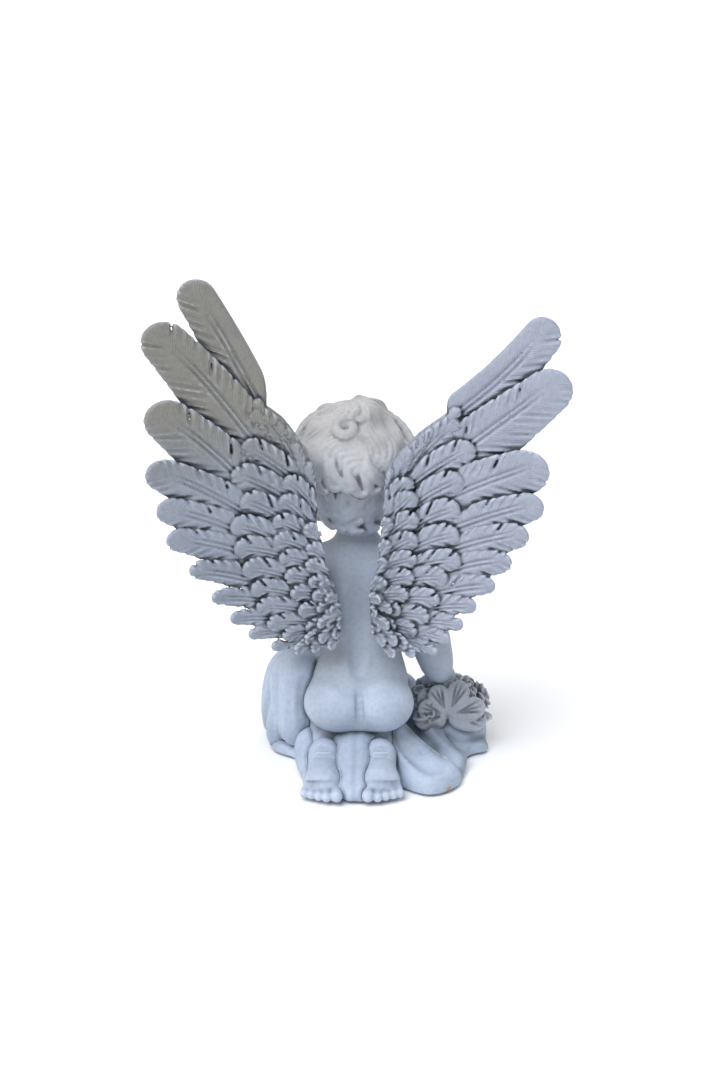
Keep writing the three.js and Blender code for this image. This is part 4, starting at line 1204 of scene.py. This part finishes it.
fit(cast(bouquet, "bouquet_resin", others=(ground, right_arm)), "bouquet_casting",
    flower_paint)

# ------------------------------------------------------------------ dowels
# Eight steel dowels, 2 to 4 mm thick, that hold the castings together. Each is glued into a hole drilled in
# both castings that it joins.


def plain(name, colour, roughness, metallic=0.0, ior=1.5, grain_mm=1.0, depth_mm=0.02):
    """An unpainted stuff with a fine grain."""
    material, shader, place = blank_material(name)
    patchy = ranged(material, noise(material, place, grain_mm * 6), 0.3, 0.7, 0.0, 0.25)
    tree = material.node_tree
    tree.links.new(mixed(material, patchy, linear(colour), linear("#3A3C3E")), shader.inputs["Base Color"])
    fine = noise(material, place, grain_mm)
    bump = node(material, "Bump", Height=fine, Strength=1.0, Distance=depth_mm * MM)
    tree.links.new(bump.outputs[0], shader.inputs["Normal"])
    shader.inputs["Roughness"].default_value = roughness
    shader.inputs["Metallic"].default_value = metallic
    shader.inputs["IOR"].default_value = ior
    return material


def finish_node(name, material):
    """Gives a CAD node that is kept as it is its material."""
    piece = bpy.data.objects[name]
    piece.data.materials.clear()
    piece.data.materials.append(material)


steel = plain("ground steel dowel", "#8E9094", 0.35, 1.0, 2.5, 0.4, 0.005)
DOWELS = ("left_wing_lower_pin", "left_wing_upper_pin", "right_wing_lower_pin", "right_wing_upper_pin",
          "neck_pin", "left_arm_pin", "right_arm_pin", "bouquet_pin")
for name in DOWELS:
    finish_node(name, steel)

# ------------------------------------------------------------------ plug and felt
# The stopper of the casting's core hole, bare yellowish resin, and the green felt glued under the whole base.
finish_node("base_plug", plain("bare polyresin", "#C9BFA3", 0.6, 0.0, 1.5, 1.5, 0.03))
finish_node("base_felt", plain("green wool felt", "#3F5C45", 0.95, 0.0, 1.5, 0.8, 0.12))

# ------------------------------------------------------------------ stage
# A plain pale floor under three broad soft lights: a cool one from high behind the figure, a weak warm one
# from its left and one from before it. The camera stands behind the figure and looks down on it.


def soft_light(name, round_degrees, up_degrees, spread_degrees, strength, colour):
    """A broad even light from a direction round the figure: 0 is before the face, 90 the figure's left."""
    lamp = bpy.data.lights.new(name, "SUN")
    lamp.angle = math.radians(spread_degrees)
    lamp.energy = strength
    lamp.color = linear(colour)[:3]
    thing = bpy.data.objects.new(name, lamp)
    thing.rotation_euler = (math.radians(90 - up_degrees), 0, math.radians(round_degrees))
    bpy.context.collection.objects.link(thing)


floor_mesh = bpy.data.meshes.new("floor")
FLOOR_HALF = 60.0
corners = [(x * FLOOR_HALF, y * FLOOR_HALF, 0) for x, y in ((-1, -1), (1, -1), (1, 1), (-1, 1))]
floor_mesh.from_pydata(corners, [], [(0, 1, 2, 3)])
floor = bpy.data.objects.new("floor", floor_mesh)
bpy.context.collection.objects.link(floor)
floor_paint, floor_shader, _ = blank_material("pale floor")
floor_shader.inputs["Base Color"].default_value = linear("#F2F2F2")
floor_shader.inputs["Roughness"].default_value = 0.9
floor_mesh.materials.append(floor_paint)
floor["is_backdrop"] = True

scene = bpy.context.scene
world = bpy.data.worlds.new("studio")
world.use_nodes = True
background = world.node_tree.nodes["Background"]
background.inputs["Color"].default_value = linear("#F4F6FA")
background.inputs["Strength"].default_value = 0.46
scene.world = world
soft_light("sky light", 143, 58, 45, 2.9, "#F0F4FF")
soft_light("side fill", 100, 30, 60, 0.5, "#FFE6C8")
soft_light("front fill", -30, 45, 50, 1.1, "#F6F4F0")

AIM = (-0.0012, 0.0, 0.096)
CAMERA_DISTANCE, CAMERA_LIFT = 0.690, math.radians(20)
LENS_MM, SENSOR_MM = 56, 36
lens = bpy.data.cameras.new("camera")
lens.lens = LENS_MM
lens.sensor_width = SENSOR_MM
camera = bpy.data.objects.new("camera", lens)
bpy.context.collection.objects.link(camera)
behind, above = CAMERA_DISTANCE * math.cos(CAMERA_LIFT), CAMERA_DISTANCE * math.sin(CAMERA_LIFT)
camera.location = (AIM[0], behind, AIM[2] + above)
camera.rotation_euler = (math.pi / 2 - CAMERA_LIFT, 0, math.pi)
scene.camera = camera
scene.view_settings.view_transform = "Standard"

size = {"cad": [[round(c, 6) for c in corner] for corner in cad_box],
        "visual": [[round(c, 6) for c in corner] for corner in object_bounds()]}
